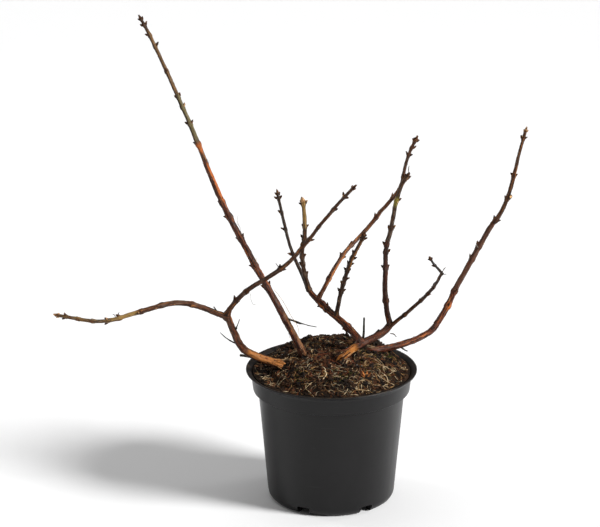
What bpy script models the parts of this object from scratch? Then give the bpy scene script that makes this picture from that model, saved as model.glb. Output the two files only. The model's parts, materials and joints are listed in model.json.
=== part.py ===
"""A bare honeyberry bush in a round black nursery pot.

Sizes are in millimetres and angles in degrees until they are used; the model is in metres.
+Z is up, the camera side of the bush is -Y, and the origin is the middle of the pot's underside.
Each limb is one solid: stems rise from the compost, boughs spring from stems, and the
budded shoots at the ends are the masses of the bare crown.
"""

import math
import random
from dataclasses import dataclass

import bmesh
import bpy
from mathutils import Vector, noise

MM = 0.001
GAP = 0.3 * MM

# The pot: a thin moulded shell, with a flared lip, a band under it and a notched foot ring
POT_HEIGHT = 150.0
LIP_RADIUS = 95.0
LIP_EDGE = 1.7
BAND_TOP_RADIUS = 88.8
BAND_FOOT_RADIUS = 87.3
BAND_FOOT = 126.0
WALL_TOP_RADIUS = 81.2
WALL_FOOT_RADIUS = 70.9
CORNER_HEIGHT = 9.5
FOOT_RADIUS = 63.8
FOOT_INNER_RADIUS = 59.0
FLOOR_UNDERSIDE = 9.3
FLOOR_TOP = 10.8
PAD_RADIUS = 14.4
WALL = 1.5
POT_SIDES = 48
NOTCH_COUNT = 6
FIRST_NOTCH = -116.5
NOTCH_WIDTH = 15.0
NOTCH_HEIGHT = 8.8
DIMPLE_WIDTH = 14.0
DIMPLE_HEIGHT = 0.5
DRAIN_RADIUS = 4.5
DRAIN_CIRCLE = 49.0

# The compost: level near the lip, with a low mound that lies towards the back
COMPOST_LEVEL = 147.2
COMPOST_RADIUS = 86.8
COMPOST_FOOT = 11.2
MOUND_HEIGHT = 22.0
MOUND_CENTRE = (4.0, 30.0)
MOUND_REACH = (80.0, 60.0, 120.0)
MOUND_POWER = 2.5
COMPOST_RINGS = 11
COMPOST_SIDES = 40
LUMP_SIZE = 14.0
LUMP_HEIGHT = 1.3

# The limbs: how their feet spread, how they swell at a pair of buds and how they zigzag there
FLARE = 0.30
FLARE_REACH = 7.0
SWELLING = 0.14
ZIGZAG = 0.09
RING_SPACING = 13.0
SUNK_LENGTH = 14.0

# The buds: pointed, in opposite pairs that lean away from their shoot
BUD_LENGTH = 5.8
BUD_GIRTH = 2.1
BUD_LEAN = 38.0
END_BUD_LENGTH = 4.6
BUD_CLEARANCE = 2.5
SEED = 11


@dataclass(frozen=True)
class Limb:
    """One limb as a single smooth bend.

    leaves and arrives are a heading, a climb and a pull: the way it points at its foot and at
    its tip, and how far it keeps that way. girth is its diameter at foot and tip. A limb stands
    on the compost at foot, or springs from another limb, at a share of that one's length.
    Pairs of buds sit at the shares of its own length in nodes. Each letter of sides says which
    of them the node keeps: b both, l or r the left or right one, f a pair that faces front and back.
    """

    name: str
    tip: tuple
    leaves: tuple
    arrives: tuple
    girth: tuple
    foot: tuple = None
    parent: str = None
    share: float = 1.0
    nodes: tuple = ()
    sides: str = ""
    clears: tuple = ()
    kind: str = "bough"


@dataclass(frozen=True)
class Twig:
    """A short dead twig that is part of its limb, bent by droop on its way to its tip."""

    limb: str
    share: float
    reach: tuple
    droop: float
    girth: tuple


LIMBS = (
    Limb("tall_stem", (-140, 46, 377), (165, 65, 75), (162, 69, 90), (7.2, 5.0),
         foot=(-31, -1, 165), nodes=(0.36, 0.47, 0.61, 0.72, 0.79), sides="blbll", kind="stem"),
    Limb("tall_shoot", (-209, 70, 531), (147, 65, 37), (168, 60, 37), (4.8, 2.7), parent="tall_stem",
         nodes=(0.11, 0.25, 0.37, 0.44, 0.62, 0.80, 0.88, 0.95), sides="lbrbfrlb", kind="mass"),
    Limb("left_stem", (-115, -36, 226), (-179, 18, 54), (-161, 68, 48), (8.4, 6.4),
         foot=(-56, -11, 158), kind="stem"),
    Limb("left_bough", (-240, -70, 231), (-176, 25, 69), (-174, -13, 80), (5.8, 3.7), parent="left_stem",
         share=0.95, nodes=(0.32, 0.58, 0.75, 0.92), sides="fffr"),
    Limb("left_shoot", (-295, -88, 243), (-160, -2, 17), (-173, 15, 35), (3.6, 3.0), parent="left_bough",
         nodes=(0.04, 0.34, 0.62, 0.85), sides="bffb", kind="mass"),
    Limb("crossing_bough", (-35, -62, 308), (-26, 68, 37), (-10, 56, 40), (4.8, 3.7), parent="left_stem",
         share=0.99, nodes=(0.18, 0.32, 0.74), sides="lfb", clears=("left_bough",)),
    Limb("crossing_shoot", (22, -84, 385), (-16, 47, 22), (-12, 47, 44), (3.6, 2.6), parent="crossing_bough",
         nodes=(0.05, 0.17, 0.37, 0.65, 0.85), sides="lrfrb", kind="mass"),
    Limb("right_stem", (65, 12, 197), (28, 37, 32), (24, 65, 17), (8.0, 7.0),
         foot=(9, -18, 167), kind="stem"),
    Limb("centre_stem", (-26, 50, 226), (122, 40, 27), (140, 45, 28), (7.6, 5.4), parent="right_stem",
         share=0.42, nodes=(0.29, 0.66, 0.74), sides="lrl", kind="stem"),
    Limb("centre_left_shoot", (-60, 100, 322), (163, 66, 69), (137, 73, 69), (3.4, 2.5), parent="centre_stem",
         nodes=(0.36, 0.64, 0.81, 0.95), sides="lllb", kind="mass"),
    Limb("centre_shoot", (-32, 10, 341), (-156, 74, 73), (-126, 77, 67), (4.6, 3.7), parent="centre_stem",
         share=0.97, nodes=(0.16, 0.28, 0.36, 0.59, 0.73, 0.97), sides="rlrlbb",
         clears=("centre_left_shoot",), kind="mass"),
    Limb("arching_bough", (56, 114, 296), (23, 61, 79), (19, 51, 66), (4.2, 3.8), parent="centre_stem",
         share=0.81, nodes=(0.20, 0.43, 0.60, 0.94), sides="fbll"),
    Limb("arching_shoot", (96, 132, 376), (12, 43, 55), (9, 63, 54), (3.7, 2.9), parent="arching_bough",
         nodes=(0.23, 0.52, 0.79, 0.88, 0.97), sides="lfbrb", kind="mass"),
    Limb("budded_side_shoot", (35, -8, 308), (-9, 81, 69), (-63, 57, 25), (4.4, 3.1), parent="centre_stem",
         share=0.49, nodes=(0.27, 0.35, 0.41, 0.50, 0.58, 0.65, 0.72, 0.94), sides="blrbbrlb", kind="mass"),
    Limb("upright_bough", (61, -6, 301), (-167, 68, 23), (-50, 77, 23), (5.4, 4.4), parent="right_stem",
         nodes=(0.28, 0.68, 0.86, 0.95), sides="fbrl"),
    Limb("upright_shoot", (81, -27, 381), (-25, 70, 21), (-24, 58, 32), (4.3, 3.4), parent="upright_bough",
         nodes=(0.18, 0.60, 0.94), sides="brb", kind="mass"),
    Limb("side_bough", (118, -60, 281), (-10, 42, 72), (-70, 44, 35), (3.7, 2.7), parent="right_stem",
         share=0.93, nodes=(0.20, 0.42, 0.55, 0.69), sides="ffff", clears=("upright_bough",)),
    Limb("side_shoot", (104, -88, 307), (-149, 48, 18), (-118, 47, 13), (2.2, 1.8), parent="side_bough",
         nodes=(0.45,), sides="l", kind="mass"),
    Limb("outer_stem", (119, 52, 184), (15, -4, 19), (50, 57, 19), (6.6, 6.2), foot=(43, 15, 165), kind="stem"),
    Limb("outer_bough", (181, 76, 294), (20, 52, 28), (6, 59, 78), (6.0, 4.8), parent="outer_stem",
         nodes=(0.18, 0.32, 0.64, 0.77), sides="ffll"),
    Limb("outer_shoot", (214, 60, 407), (6, 43, 26), (-39, 72, 42), (4.7, 2.5), parent="outer_bough",
         nodes=(0.04, 0.28, 0.52, 0.91), sides="bbbb", kind="mass"),
    Limb("dead_stick", (37, 48, 192), (0, 86, 8), (60, 88, 8), (1.9, 1.5), foot=(36, 47, 166), kind="stem"),
    Limb("dead_stub", (54, 44, 179), (-8, 50, 5), (-8, 48, 6), (2.4, 1.8), foot=(42, 46, 165), kind="stem"),
    Limb("rim_twig", (-102, 21, 157), (190, 30, 8), (190, 8, 8), (1.8, 2.4), foot=(-79, 27, 149), kind="stem"),
)

TWIGS = (
    Twig("tall_stem", 0.20, (36, -8, -9), 1.5, (2.2, 1.3)),
    Twig("left_stem", 0.57, (-21, -4, 15), 2.5, (2.2, 1.3)),
    Twig("left_stem", 0.78, (7, -6, 15), 3.0, (2.0, 1.2)),
    Twig("left_bough", 0.07, (-7, -3, 10), 0.5, (2.6, 2.0)),
    Twig("outer_stem", 0.40, (9, -6, -5), 1.0, (2.0, 2.2)),
    Twig("outer_stem", 0.86, (5, -3, 10), 1.0, (1.8, 1.2)),
)

COLOURS = {
    "pot": ((0.022, 0.021, 0.022), 0.42),
    "compost": ((0.045, 0.030, 0.020), 0.95),
    "stem": ((0.190, 0.075, 0.035), 0.75),
    "bough": ((0.175, 0.065, 0.032), 0.70),
    "mass": ((0.160, 0.085, 0.045), 0.70),
    "dead": ((0.030, 0.024, 0.020), 0.85),
}


def clear_scene():
    for item in list(bpy.data.objects):
        bpy.data.objects.remove(item, do_unlink=True)


def make_collection(name):
    group = bpy.data.collections.new(name)
    bpy.context.scene.collection.children.link(group)
    return group


def make_material(name, colour, roughness):
    material = bpy.data.materials.new(name)
    material.use_nodes = True
    shader = material.node_tree.nodes["Principled BSDF"]
    shader.inputs["Base Color"].default_value = (*colour, 1.0)
    shader.inputs["Roughness"].default_value = roughness
    shader.inputs["Metallic"].default_value = 0.0
    return material


def add_object(name, mesh, group, material=None):
    item = bpy.data.objects.new(name, mesh)
    group.objects.link(item)
    if material:
        mesh.materials.clear()
        mesh.materials.append(material)
    return item


def drop(item):
    bpy.data.objects.remove(item, do_unlink=True)


def apply_modifiers(item):
    graph = bpy.context.evaluated_depsgraph_get()
    item.data = bpy.data.meshes.new_from_object(item.evaluated_get(graph))
    item.modifiers.clear()


def edit_mesh(item, change):
    sculpt = bmesh.new()
    sculpt.from_mesh(item.data)
    change(sculpt)
    bmesh.ops.recalc_face_normals(sculpt, faces=sculpt.faces)
    sculpt.to_mesh(item.data)
    sculpt.free()


def join_group(item, group, solver="EXACT"):
    """Join every piece of a collection to the item, and remove the pieces."""
    union = item.modifiers.new("join", "BOOLEAN")
    union.operation = "UNION"
    union.operand_type = "COLLECTION"
    union.collection = group
    union.solver = solver
    apply_modifiers(item)
    for piece in list(group.objects):
        drop(piece)


def cut_by(item, cutter):
    cut = item.modifiers.new("cut", "BOOLEAN")
    cut.operation = "DIFFERENCE"
    cut.object = cutter
    apply_modifiers(item)


def keep_largest_piece(sculpt):
    """A cut can leave a loose scrap: only the piece with the most faces stays."""
    left = set(sculpt.faces)
    pieces = []
    while left:
        queue = [left.pop()]
        piece = set(queue)
        while queue:
            for edge in queue.pop().edges:
                fresh = [face for face in edge.link_faces if face in left]
                left.difference_update(fresh)
                piece.update(fresh)
                queue.extend(fresh)
        pieces.append(piece)
    pieces.sort(key=len)
    scraps = [face for piece in pieces[:-1] for face in piece]
    bmesh.ops.delete(sculpt, geom=scraps, context="FACES")


def shade(item, angle=40.0):
    item.data.shade_smooth()
    item.data.set_sharp_from_angle(angle=math.radians(angle))


def direction(heading, climb):
    """The way that a heading from +X towards +Y, and a climb from level, point."""
    turn, rise = math.radians(heading), math.radians(climb)
    return Vector((math.cos(rise) * math.cos(turn), math.cos(rise) * math.sin(turn), math.sin(rise)))


class Route:
    """A limb's middle line, measured by its own length."""

    def __init__(self, limb, start):
        self.limb = limb
        tip = Vector(limb.tip)
        first = start + direction(*limb.leaves[:2]) * limb.leaves[2]
        last = tip - direction(*limb.arrives[:2]) * limb.arrives[2]
        self.points = [bend(start, first, last, tip, step / 60) for step in range(61)]
        self.lengths = [0.0]
        for here, there in zip(self.points, self.points[1:]):
            self.lengths.append(self.lengths[-1] + (there - here).length)
        self.length = self.lengths[-1]
        self.kinks = self.make_kinks()

    def smooth(self, share):
        wanted = min(max(share, 0.0), 1.0) * self.length
        for index in range(1, len(self.points)):
            if self.lengths[index] >= wanted:
                break
        span = self.lengths[index] - self.lengths[index - 1]
        mix = (wanted - self.lengths[index - 1]) / span
        here, there = self.points[index - 1], self.points[index]
        return here.lerp(there, mix), (there - here).normalized()

    def make_kinks(self):
        """A bare shoot zigzags a little: it turns at each pair of buds."""
        dice = random.Random(f"{SEED} {self.limb.name}")
        kinks = [(0.0, Vector())]
        for share in self.limb.nodes:
            aside = Vector((dice.uniform(-1, 1), dice.uniform(-1, 1), dice.uniform(-1, 1)))
            kinks.append((share, aside * ZIGZAG * self.girth(share)))
        kinks.append((1.0, Vector()))
        return kinks

    def at(self, share):
        """The middle line's place and direction at a share of its length."""
        place, along = self.smooth(share)
        for (start, low), (end, high) in zip(self.kinks, self.kinks[1:]):
            if start <= share <= end:
                place = place + low.lerp(high, (share - start) / (end - start))
                break
        return place, along

    def girth(self, share):
        """The plain diameter, before any swelling."""
        foot, tip = self.limb.girth
        return foot + (tip - foot) * share

    def radius(self, share):
        size = self.girth(share)
        if self.limb.foot:
            size += self.limb.girth[0] * FLARE * math.exp(-share * self.length / FLARE_REACH)
        for node in self.limb.nodes:
            away = (share - node) * self.length / (0.7 * self.girth(node))
            size += self.girth(node) * SWELLING * math.exp(-away * away)
        return size / 2

    def side(self, share):
        """The way across the limb that shows as its right-hand side from the front."""
        across = Vector((0.0, 1.0, 0.0)).cross(self.at(share)[1])
        return across.normalized()

    def rings(self):
        """The shares at which the limb's tube has a ring: even steps and each node."""
        count = max(3, round(self.length / RING_SPACING))
        steps = [index / count for index in range(count + 1)]
        near = 0.35 / count
        plain = [step for step in steps if step in (0.0, 1.0) or not any(abs(step - node) < near for node in self.limb.nodes)]
        return sorted(plain + list(self.limb.nodes))


def bend(start, first, last, tip, step):
    """A point of the cubic curve through start and tip that first and last pull on."""
    back = 1.0 - step
    return start * back**3 + first * 3 * step * back**2 + last * 3 * step**2 * back + tip * step**3


def lay_routes():
    routes = {}
    for limb in LIMBS:
        if limb.parent:
            start = routes[limb.parent].at(limb.share)[0]
        else:
            start = Vector(limb.foot)
        routes[limb.name] = Route(limb, start)
    return routes


def add_tube(name, places, radii, group, sides=8):
    """A round tapering limb through the places, all in millimetres, as a closed mesh."""
    curve = bpy.data.curves.new(name, "CURVE")
    curve.dimensions = "3D"
    curve.bevel_depth = 1.0
    curve.bevel_resolution = sides // 2 - 2
    curve.use_fill_caps = True
    spline = curve.splines.new("POLY")
    spline.points.add(len(places) - 1)
    for knot, place, radius in zip(spline.points, places, radii):
        knot.co = (*(place * MM), 1.0)
        knot.radius = radius * MM
    guide = bpy.data.objects.new(name, curve)
    group.objects.link(guide)
    graph = bpy.context.evaluated_depsgraph_get()
    mesh = bpy.data.meshes.new_from_object(guide.evaluated_get(graph))
    drop(guide)
    item = add_object(name, mesh, group)
    edit_mesh(item, lambda sculpt: bmesh.ops.remove_doubles(sculpt, verts=sculpt.verts, dist=1e-6))
    return item


def cut_flat(item, level):
    """Cut the item off level at a height, and close the cut."""
    def change(sculpt):
        geometry = sculpt.verts[:] + sculpt.edges[:] + sculpt.faces[:]
        found = bmesh.ops.bisect_plane(
            sculpt, geom=geometry, dist=1e-7, plane_co=(0.0, 0.0, level), plane_no=(0.0, 0.0, 1.0), clear_inner=True)
        rim = [edge for edge in found["geom_cut"] if isinstance(edge, bmesh.types.BMEdge)]
        bmesh.ops.edgeloop_fill(sculpt, edges=rim)
    edit_mesh(item, change)


def add_limb_tube(route, group, sides, grow=0.0):
    """The limb's own tube, or one that is fatter all round by grow, in millimetres."""
    shares = route.rings()
    places = [route.at(share)[0] for share in shares]
    radii = [route.radius(share) + grow for share in shares]
    if grow:
        places[-1] = places[-1] + route.at(1.0)[1] * grow
    if route.limb.foot:
        places.insert(0, places[0] - route.at(0.0)[1] * SUNK_LENGTH)
        radii.insert(0, radii[0])
    elif grow:
        places[0] = places[0] - route.at(0.0)[1] * grow
    item = add_tube(route.limb.name, places, radii, group, sides)
    if route.limb.foot:
        cut_flat(item, (route.limb.foot[2] - grow) * MM)
    return item


def sides_of(limb):
    return 8 if max(limb.girth) > 5.0 else 6


def touches_other(routes, own, place, reach):
    """Whether a place is too near to any limb but its own."""
    for name, route in routes.items():
        if name == own:
            continue
        for step in range(41):
            if (route.at(step / 40)[0] - place).length < route.radius(step / 40) + reach:
                return True
    return False


def add_bud(route, share, aside, length, group, lean=BUD_LEAN):
    """One pointed bud, its root sunk in the limb."""
    middle, along = route.at(share)
    thick = route.radius(share)
    tilt = math.radians(lean)
    out = aside * math.sin(tilt) + along * math.cos(tilt)
    root = middle + aside * thick * 0.45
    belly = root + out * length * 0.5
    point = root + out * (length + thick * 0.3)
    add_tube("bud", [root, belly, point], [BUD_GIRTH * 0.38, BUD_GIRTH * 0.5, BUD_GIRTH * 0.12], group, sides=4)


def add_buds(route, routes, group):
    """The pairs of buds at a limb's nodes, and the larger ones at the tip of a shoot."""
    dice = random.Random(f"{SEED} {route.limb.name} buds")
    for share, keep in zip(route.limb.nodes, route.limb.sides):
        right = route.side(share)
        front = right.cross(route.at(share)[1]).normalized()
        base = front if keep == "f" else right
        for letter, way in (("r", base), ("l", -base)):
            length = BUD_LENGTH * dice.uniform(0.75, 1.15)
            wander = Vector((dice.uniform(-1, 1), dice.uniform(-1, 1), dice.uniform(-1, 1))) * 0.25
            aside = (way + wander).normalized()
            reach = route.at(share)[0] + aside * (route.radius(share) + length * 0.7)
            if keep in ("b", "f", letter) and not touches_other(routes, route.limb.name, reach, BUD_CLEARANCE):
                add_bud(route, share, aside, length, group)
    if route.limb.kind == "mass":
        middle, along = route.at(1.0)
        thick = route.radius(1.0)
        root = middle - along * thick
        places = [root, middle + along * END_BUD_LENGTH * 0.35, middle + along * END_BUD_LENGTH]
        add_tube("end_bud", places, [thick * 0.8, thick * 0.95, 0.3], group, sides=6)


def add_twigs(route, group):
    for twig in TWIGS:
        if twig.limb != route.limb.name:
            continue
        root = route.at(twig.share)[0]
        reach = Vector(twig.reach)
        sag = Vector((0.0, 0.0, -twig.droop))
        places = [root + reach * step + sag * 4 * step * (1 - step) for step in (0.0, 0.25, 0.5, 0.75, 1.0)]
        foot, tip = twig.girth
        radii = [(foot + (tip - foot) * step) / 2 for step in (0.0, 0.25, 0.5, 0.75, 1.0)]
        add_tube("twig", places, radii, group, sides=6)


def make_limb(route, routes, parts, scraps, materials):
    """One limb with its buds and twigs fused on, cut clear of the limbs that it springs from."""
    limb = route.limb
    item = add_limb_tube(route, parts, sides_of(limb))
    for name in ((limb.parent,) if limb.parent else ()) + limb.clears:
        cutter = add_limb_tube(routes[name], scraps, sides_of(routes[name].limb), grow=GAP / MM)
        cut_by(item, cutter)
        drop(cutter)
    edit_mesh(item, keep_largest_piece)
    add_buds(route, routes, scraps)
    add_twigs(route, scraps)
    if scraps.objects:
        join_group(item, scraps)
        edit_mesh(item, keep_largest_piece)
    kind = "dead" if limb.name.startswith(("dead", "rim")) else limb.kind
    item.data.materials.clear()
    item.data.materials.append(materials[kind])
    shade(item)
    return item


def add_turned(name, outline, group, sides):
    """A turned shape: its outline, in millimetres, spun about the Z axis."""
    mesh = bpy.data.meshes.new(name)
    corners = [(radius * MM, 0.0, height * MM) for radius, height in outline]
    mesh.from_pydata(corners, [(index, index + 1) for index in range(len(corners) - 1)], [])
    item = add_object(name, mesh, group)
    spin = item.modifiers.new("spin", "SCREW")
    spin.steps = sides
    spin.render_steps = sides
    spin.use_merge_vertices = True
    spin.merge_threshold = 0.00001
    apply_modifiers(item)
    edit_mesh(item, lambda sculpt: bmesh.ops.remove_doubles(sculpt, verts=sculpt.verts, dist=1e-6))
    return item


def arc(centre, radius, start, end, count):
    """Points of an arc in the outline's plane, from one angle to another."""
    angles = [math.radians(start + (end - start) * step / count) for step in range(count + 1)]
    return [(centre[0] + radius * math.cos(a), centre[1] + radius * math.sin(a)) for a in angles]


def pot_outline():
    """From the middle of the floor up the inside, over the lip, down the outside to the pad."""
    lip_top = POT_HEIGHT
    inside = [
        (0.0, FLOOR_TOP),
        (WALL_FOOT_RADIUS - 6.5, FLOOR_TOP),
        (WALL_FOOT_RADIUS - 3.2, FLOOR_TOP + 1.2),
        (WALL_FOOT_RADIUS - WALL, FLOOR_TOP + 4.0),
        (WALL_TOP_RADIUS - WALL, BAND_FOOT + 0.2),
        (WALL_TOP_RADIUS - WALL + 0.8, BAND_FOOT + WALL),
        (BAND_FOOT_RADIUS - WALL - 1.0, BAND_FOOT + WALL + 0.3),
        (BAND_FOOT_RADIUS - WALL, BAND_FOOT + WALL + 1.5),
        (BAND_TOP_RADIUS - WALL, lip_top - 7.5),
        (BAND_TOP_RADIUS - WALL + 0.7, lip_top - 4.2),
        (BAND_TOP_RADIUS + 1.3, lip_top - 1.7),
        (LIP_RADIUS - 2.0, lip_top - 0.3),
        (LIP_RADIUS - 0.9, lip_top),
    ]
    outside = [
        (LIP_RADIUS - 0.2, lip_top - 0.3),
        (LIP_RADIUS, lip_top - 0.9),
        (LIP_RADIUS - 0.1, lip_top - 0.9 - LIP_EDGE * 0.6),
        (LIP_RADIUS - 1.2, lip_top - 0.9 - LIP_EDGE),
        (BAND_TOP_RADIUS + 2.0, lip_top - 3.6),
        (BAND_TOP_RADIUS + 0.5, lip_top - 5.2),
        (BAND_TOP_RADIUS, lip_top - 7.8),
        (BAND_FOOT_RADIUS, BAND_FOOT + 1.6),
        (BAND_FOOT_RADIUS - 1.2, BAND_FOOT + 0.2),
        (WALL_TOP_RADIUS + 1.0, BAND_FOOT),
        (WALL_TOP_RADIUS, BAND_FOOT - 1.2),
    ]
    corner = arc((FOOT_RADIUS, CORNER_HEIGHT), WALL_FOOT_RADIUS - FOOT_RADIUS, 0.0, -90.0, 4)
    corner = [(radius, height * CORNER_HEIGHT / (WALL_FOOT_RADIUS - FOOT_RADIUS) + CORNER_HEIGHT * (
        1 - CORNER_HEIGHT / (WALL_FOOT_RADIUS - FOOT_RADIUS))) for radius, height in corner]
    underside = [
        (FOOT_INNER_RADIUS, 0.0),
        (FOOT_INNER_RADIUS - 1.0, 1.0),
        (FOOT_INNER_RADIUS - 1.6, FLOOR_UNDERSIDE - 0.8),
        (FOOT_INNER_RADIUS - 2.6, FLOOR_UNDERSIDE),
        (PAD_RADIUS + 2.4, FLOOR_UNDERSIDE),
        (PAD_RADIUS + 1.4, FLOOR_UNDERSIDE - 0.8),
        (PAD_RADIUS, 0.0),
        (0.0, 0.0),
    ]
    return inside + outside + corner + underside


def add_block(name, size, centre, turn, group, bevel=0.0):
    """A block cutter, in millimetres, turned about the pot's axis."""
    bpy.ops.mesh.primitive_cube_add(size=1.0)
    item = bpy.context.object
    item.name = name
    for owner in list(item.users_collection):
        owner.objects.unlink(item)
    group.objects.link(item)
    for vertex in item.data.vertices:
        vertex.co = Vector(side * extent * MM for side, extent in zip(vertex.co, size))
    angle = math.radians(turn)
    item.location = (centre[0] * math.cos(angle) * MM, centre[0] * math.sin(angle) * MM, centre[1] * MM)
    item.rotation_euler = (0.0, 0.0, angle)
    if bevel:
        rounding = item.modifiers.new("rounding", "BEVEL")
        rounding.width = bevel * MM
        rounding.segments = 2
    hide_cutter(item)
    return item


def hide_cutter(item):
    item.hide_render = True
    item.display_type = "WIRE"


def make_pot(parts, cutters, material):
    item = add_turned("pot", pot_outline(), parts, POT_SIDES)
    spacing = 360.0 / NOTCH_COUNT
    ring_middle = (FOOT_INNER_RADIUS + WALL_FOOT_RADIUS) / 2
    for index in range(NOTCH_COUNT):
        turn = FIRST_NOTCH + index * spacing
        notch = add_block("notch", (22.0, NOTCH_WIDTH, NOTCH_HEIGHT * 2), (ring_middle + 2.0, 0.0), turn, cutters, 1.6)
        dimple = add_block("dimple", (24.0, DIMPLE_WIDTH, DIMPLE_HEIGHT * 2), (ring_middle + 2.0, 0.0),
                           turn + spacing / 2, cutters)
        drain = add_drain(turn, cutters)
        for cutter in (notch, dimple, drain):
            cut_by(item, cutter)
    item.data.materials.clear()
    item.data.materials.append(material)
    shade(item, 30.0)
    return item


def add_drain(turn, cutters):
    bpy.ops.mesh.primitive_cylinder_add(vertices=16, radius=DRAIN_RADIUS * MM, depth=8.0 * MM)
    item = bpy.context.object
    item.name = "drain"
    for owner in list(item.users_collection):
        owner.objects.unlink(item)
    cutters.objects.link(item)
    angle = math.radians(turn)
    item.location = (DRAIN_CIRCLE * math.cos(angle) * MM, DRAIN_CIRCLE * math.sin(angle) * MM, FLOOR_TOP * MM)
    hide_cutter(item)
    return item


def compost_height(x, y):
    """The height of the compost's surface at a place, all in millimetres."""
    depth = MOUND_REACH[1] if y > MOUND_CENTRE[1] else MOUND_REACH[2]
    out = math.hypot((x - MOUND_CENTRE[0]) / MOUND_REACH[0], (y - MOUND_CENTRE[1]) / depth)
    mound = MOUND_HEIGHT * max(0.0, 1.0 - out**MOUND_POWER)
    edge = 1.0 - (math.hypot(x, y) / COMPOST_RADIUS) ** 4
    lump = noise.noise(Vector((x, y, 0.0)) / LUMP_SIZE) * LUMP_HEIGHT * 2 * max(0.0, edge)
    return COMPOST_LEVEL + mound * max(0.0, 1.0 - (math.hypot(x, y) / COMPOST_RADIUS) ** 16) + lump


def compost_outline():
    """The filling of the pot, from the middle of its top to the middle of its foot."""
    slack = GAP / MM + 0.15
    tops = [(COMPOST_RADIUS * (index / COMPOST_RINGS) ** 0.85, COMPOST_LEVEL) for index in range(COMPOST_RINGS + 1)]
    band = BAND_FOOT_RADIUS - WALL - 1.0 - slack
    wall = WALL_TOP_RADIUS - WALL - slack
    sides = [
        (BAND_TOP_RADIUS - WALL - slack, POT_HEIGHT - 7.5),
        (BAND_FOOT_RADIUS - WALL - slack, BAND_FOOT + WALL + 1.5 + slack),
        (band, BAND_FOOT + WALL + 0.3 + slack),
        (wall + 0.4, BAND_FOOT + WALL + slack),
        (wall, BAND_FOOT + 0.2),
        (WALL_FOOT_RADIUS - WALL - slack, FLOOR_TOP + 4.0),
        (WALL_FOOT_RADIUS - 3.4 - slack, FLOOR_TOP + 1.4 + slack),
        (WALL_FOOT_RADIUS - 7.0, COMPOST_FOOT),
        (0.0, COMPOST_FOOT),
    ]
    return tops + sides


def make_compost(routes, parts, scraps, material):
    item = add_turned("compost", compost_outline(), parts, COMPOST_SIDES)
    for vertex in item.data.vertices:
        if abs(vertex.co.z - COMPOST_LEVEL * MM) < 1e-6:
            vertex.co.z = compost_height(vertex.co.x / MM, vertex.co.y / MM) * MM
    for route in routes.values():
        if route.limb.foot:
            cutter = add_limb_tube(route, scraps, sides_of(route.limb), grow=GAP / MM)
            cut_by(item, cutter)
            drop(cutter)
    edit_mesh(item, keep_largest_piece)
    item.data.materials.clear()
    item.data.materials.append(material)
    shade(item, 60.0)
    return item


def main():
    clear_scene()
    parts = make_collection("potted_honeyberry")
    cutters = make_collection("cutters")
    scraps = make_collection("scraps")
    materials = {name: make_material(name, *finish) for name, finish in COLOURS.items()}
    routes = lay_routes()
    make_pot(parts, cutters, materials["pot"])
    make_compost(routes, parts, scraps, materials["compost"])
    for route in routes.values():
        make_limb(route, routes, parts, scraps, materials)


main()
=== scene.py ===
"""The looks of a bare honeyberry bush in a round black nursery pot.

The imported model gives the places. Every fine mesh grows from the same named sizes as the
solids: bark with its relief, scaly buds, peeling strips, the moulded pot and its peaty filling.
Sizes are in millimetres and angles in degrees until a mesh is made, which is in metres.
"""

import json
import math
import random
from dataclasses import dataclass

import bmesh
import bpy
from mathutils import Matrix, Vector, noise

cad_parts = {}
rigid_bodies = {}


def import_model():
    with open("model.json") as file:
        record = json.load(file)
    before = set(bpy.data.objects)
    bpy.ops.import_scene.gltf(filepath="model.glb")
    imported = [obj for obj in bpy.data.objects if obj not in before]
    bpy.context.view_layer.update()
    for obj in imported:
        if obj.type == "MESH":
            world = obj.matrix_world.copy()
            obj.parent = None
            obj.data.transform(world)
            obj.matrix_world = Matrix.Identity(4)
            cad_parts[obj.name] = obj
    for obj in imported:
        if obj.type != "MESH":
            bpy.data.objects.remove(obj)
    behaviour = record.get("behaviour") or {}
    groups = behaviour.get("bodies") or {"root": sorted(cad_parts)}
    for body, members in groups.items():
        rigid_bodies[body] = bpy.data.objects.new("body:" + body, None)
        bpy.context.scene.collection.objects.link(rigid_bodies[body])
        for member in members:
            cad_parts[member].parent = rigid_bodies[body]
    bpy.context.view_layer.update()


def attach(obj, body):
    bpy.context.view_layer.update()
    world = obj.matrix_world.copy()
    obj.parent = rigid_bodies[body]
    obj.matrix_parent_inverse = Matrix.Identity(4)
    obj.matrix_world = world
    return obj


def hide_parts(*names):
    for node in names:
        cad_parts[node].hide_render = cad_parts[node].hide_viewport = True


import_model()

MM = 0.001
SEED = 11
BODY = "root"
# Faces that meet at more than this angle show a crease
FOLD = 50.0

# The camera stands to the front and a little above, as far off as the photograph's
CAMERA_PLACE = (-34.9, -3091.0, 1305.7)
CAMERA_DOWN = 18.49
CAMERA_LENS = 178.2
CAMERA_SENSOR = 36.0

# The pot: a thin moulded shell, with a flared lip, a band under it and a notched foot ring
POT_HEIGHT = 150.0
LIP_RADIUS = 95.0
LIP_EDGE = 1.7
BAND_TOP_RADIUS = 88.8
BAND_FOOT_RADIUS = 87.3
BAND_FOOT = 126.0
WALL_TOP_RADIUS = 81.2
WALL_FOOT_RADIUS = 70.9
CORNER_HEIGHT = 9.5
FOOT_RADIUS = 63.8
FOOT_INNER_RADIUS = 59.0
FLOOR_UNDERSIDE = 9.3
FLOOR_TOP = 10.8
PAD_RADIUS = 14.4
WALL = 1.5
POT_SIDES = 192
NOTCH_COUNT = 6
FIRST_NOTCH = -116.5
NOTCH_WIDTH = 15.0
NOTCH_HEIGHT = 8.8
DIMPLE_WIDTH = 14.0
DIMPLE_HEIGHT = 0.5
DRAIN_RADIUS = 4.5
DRAIN_CIRCLE = 49.0

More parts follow.
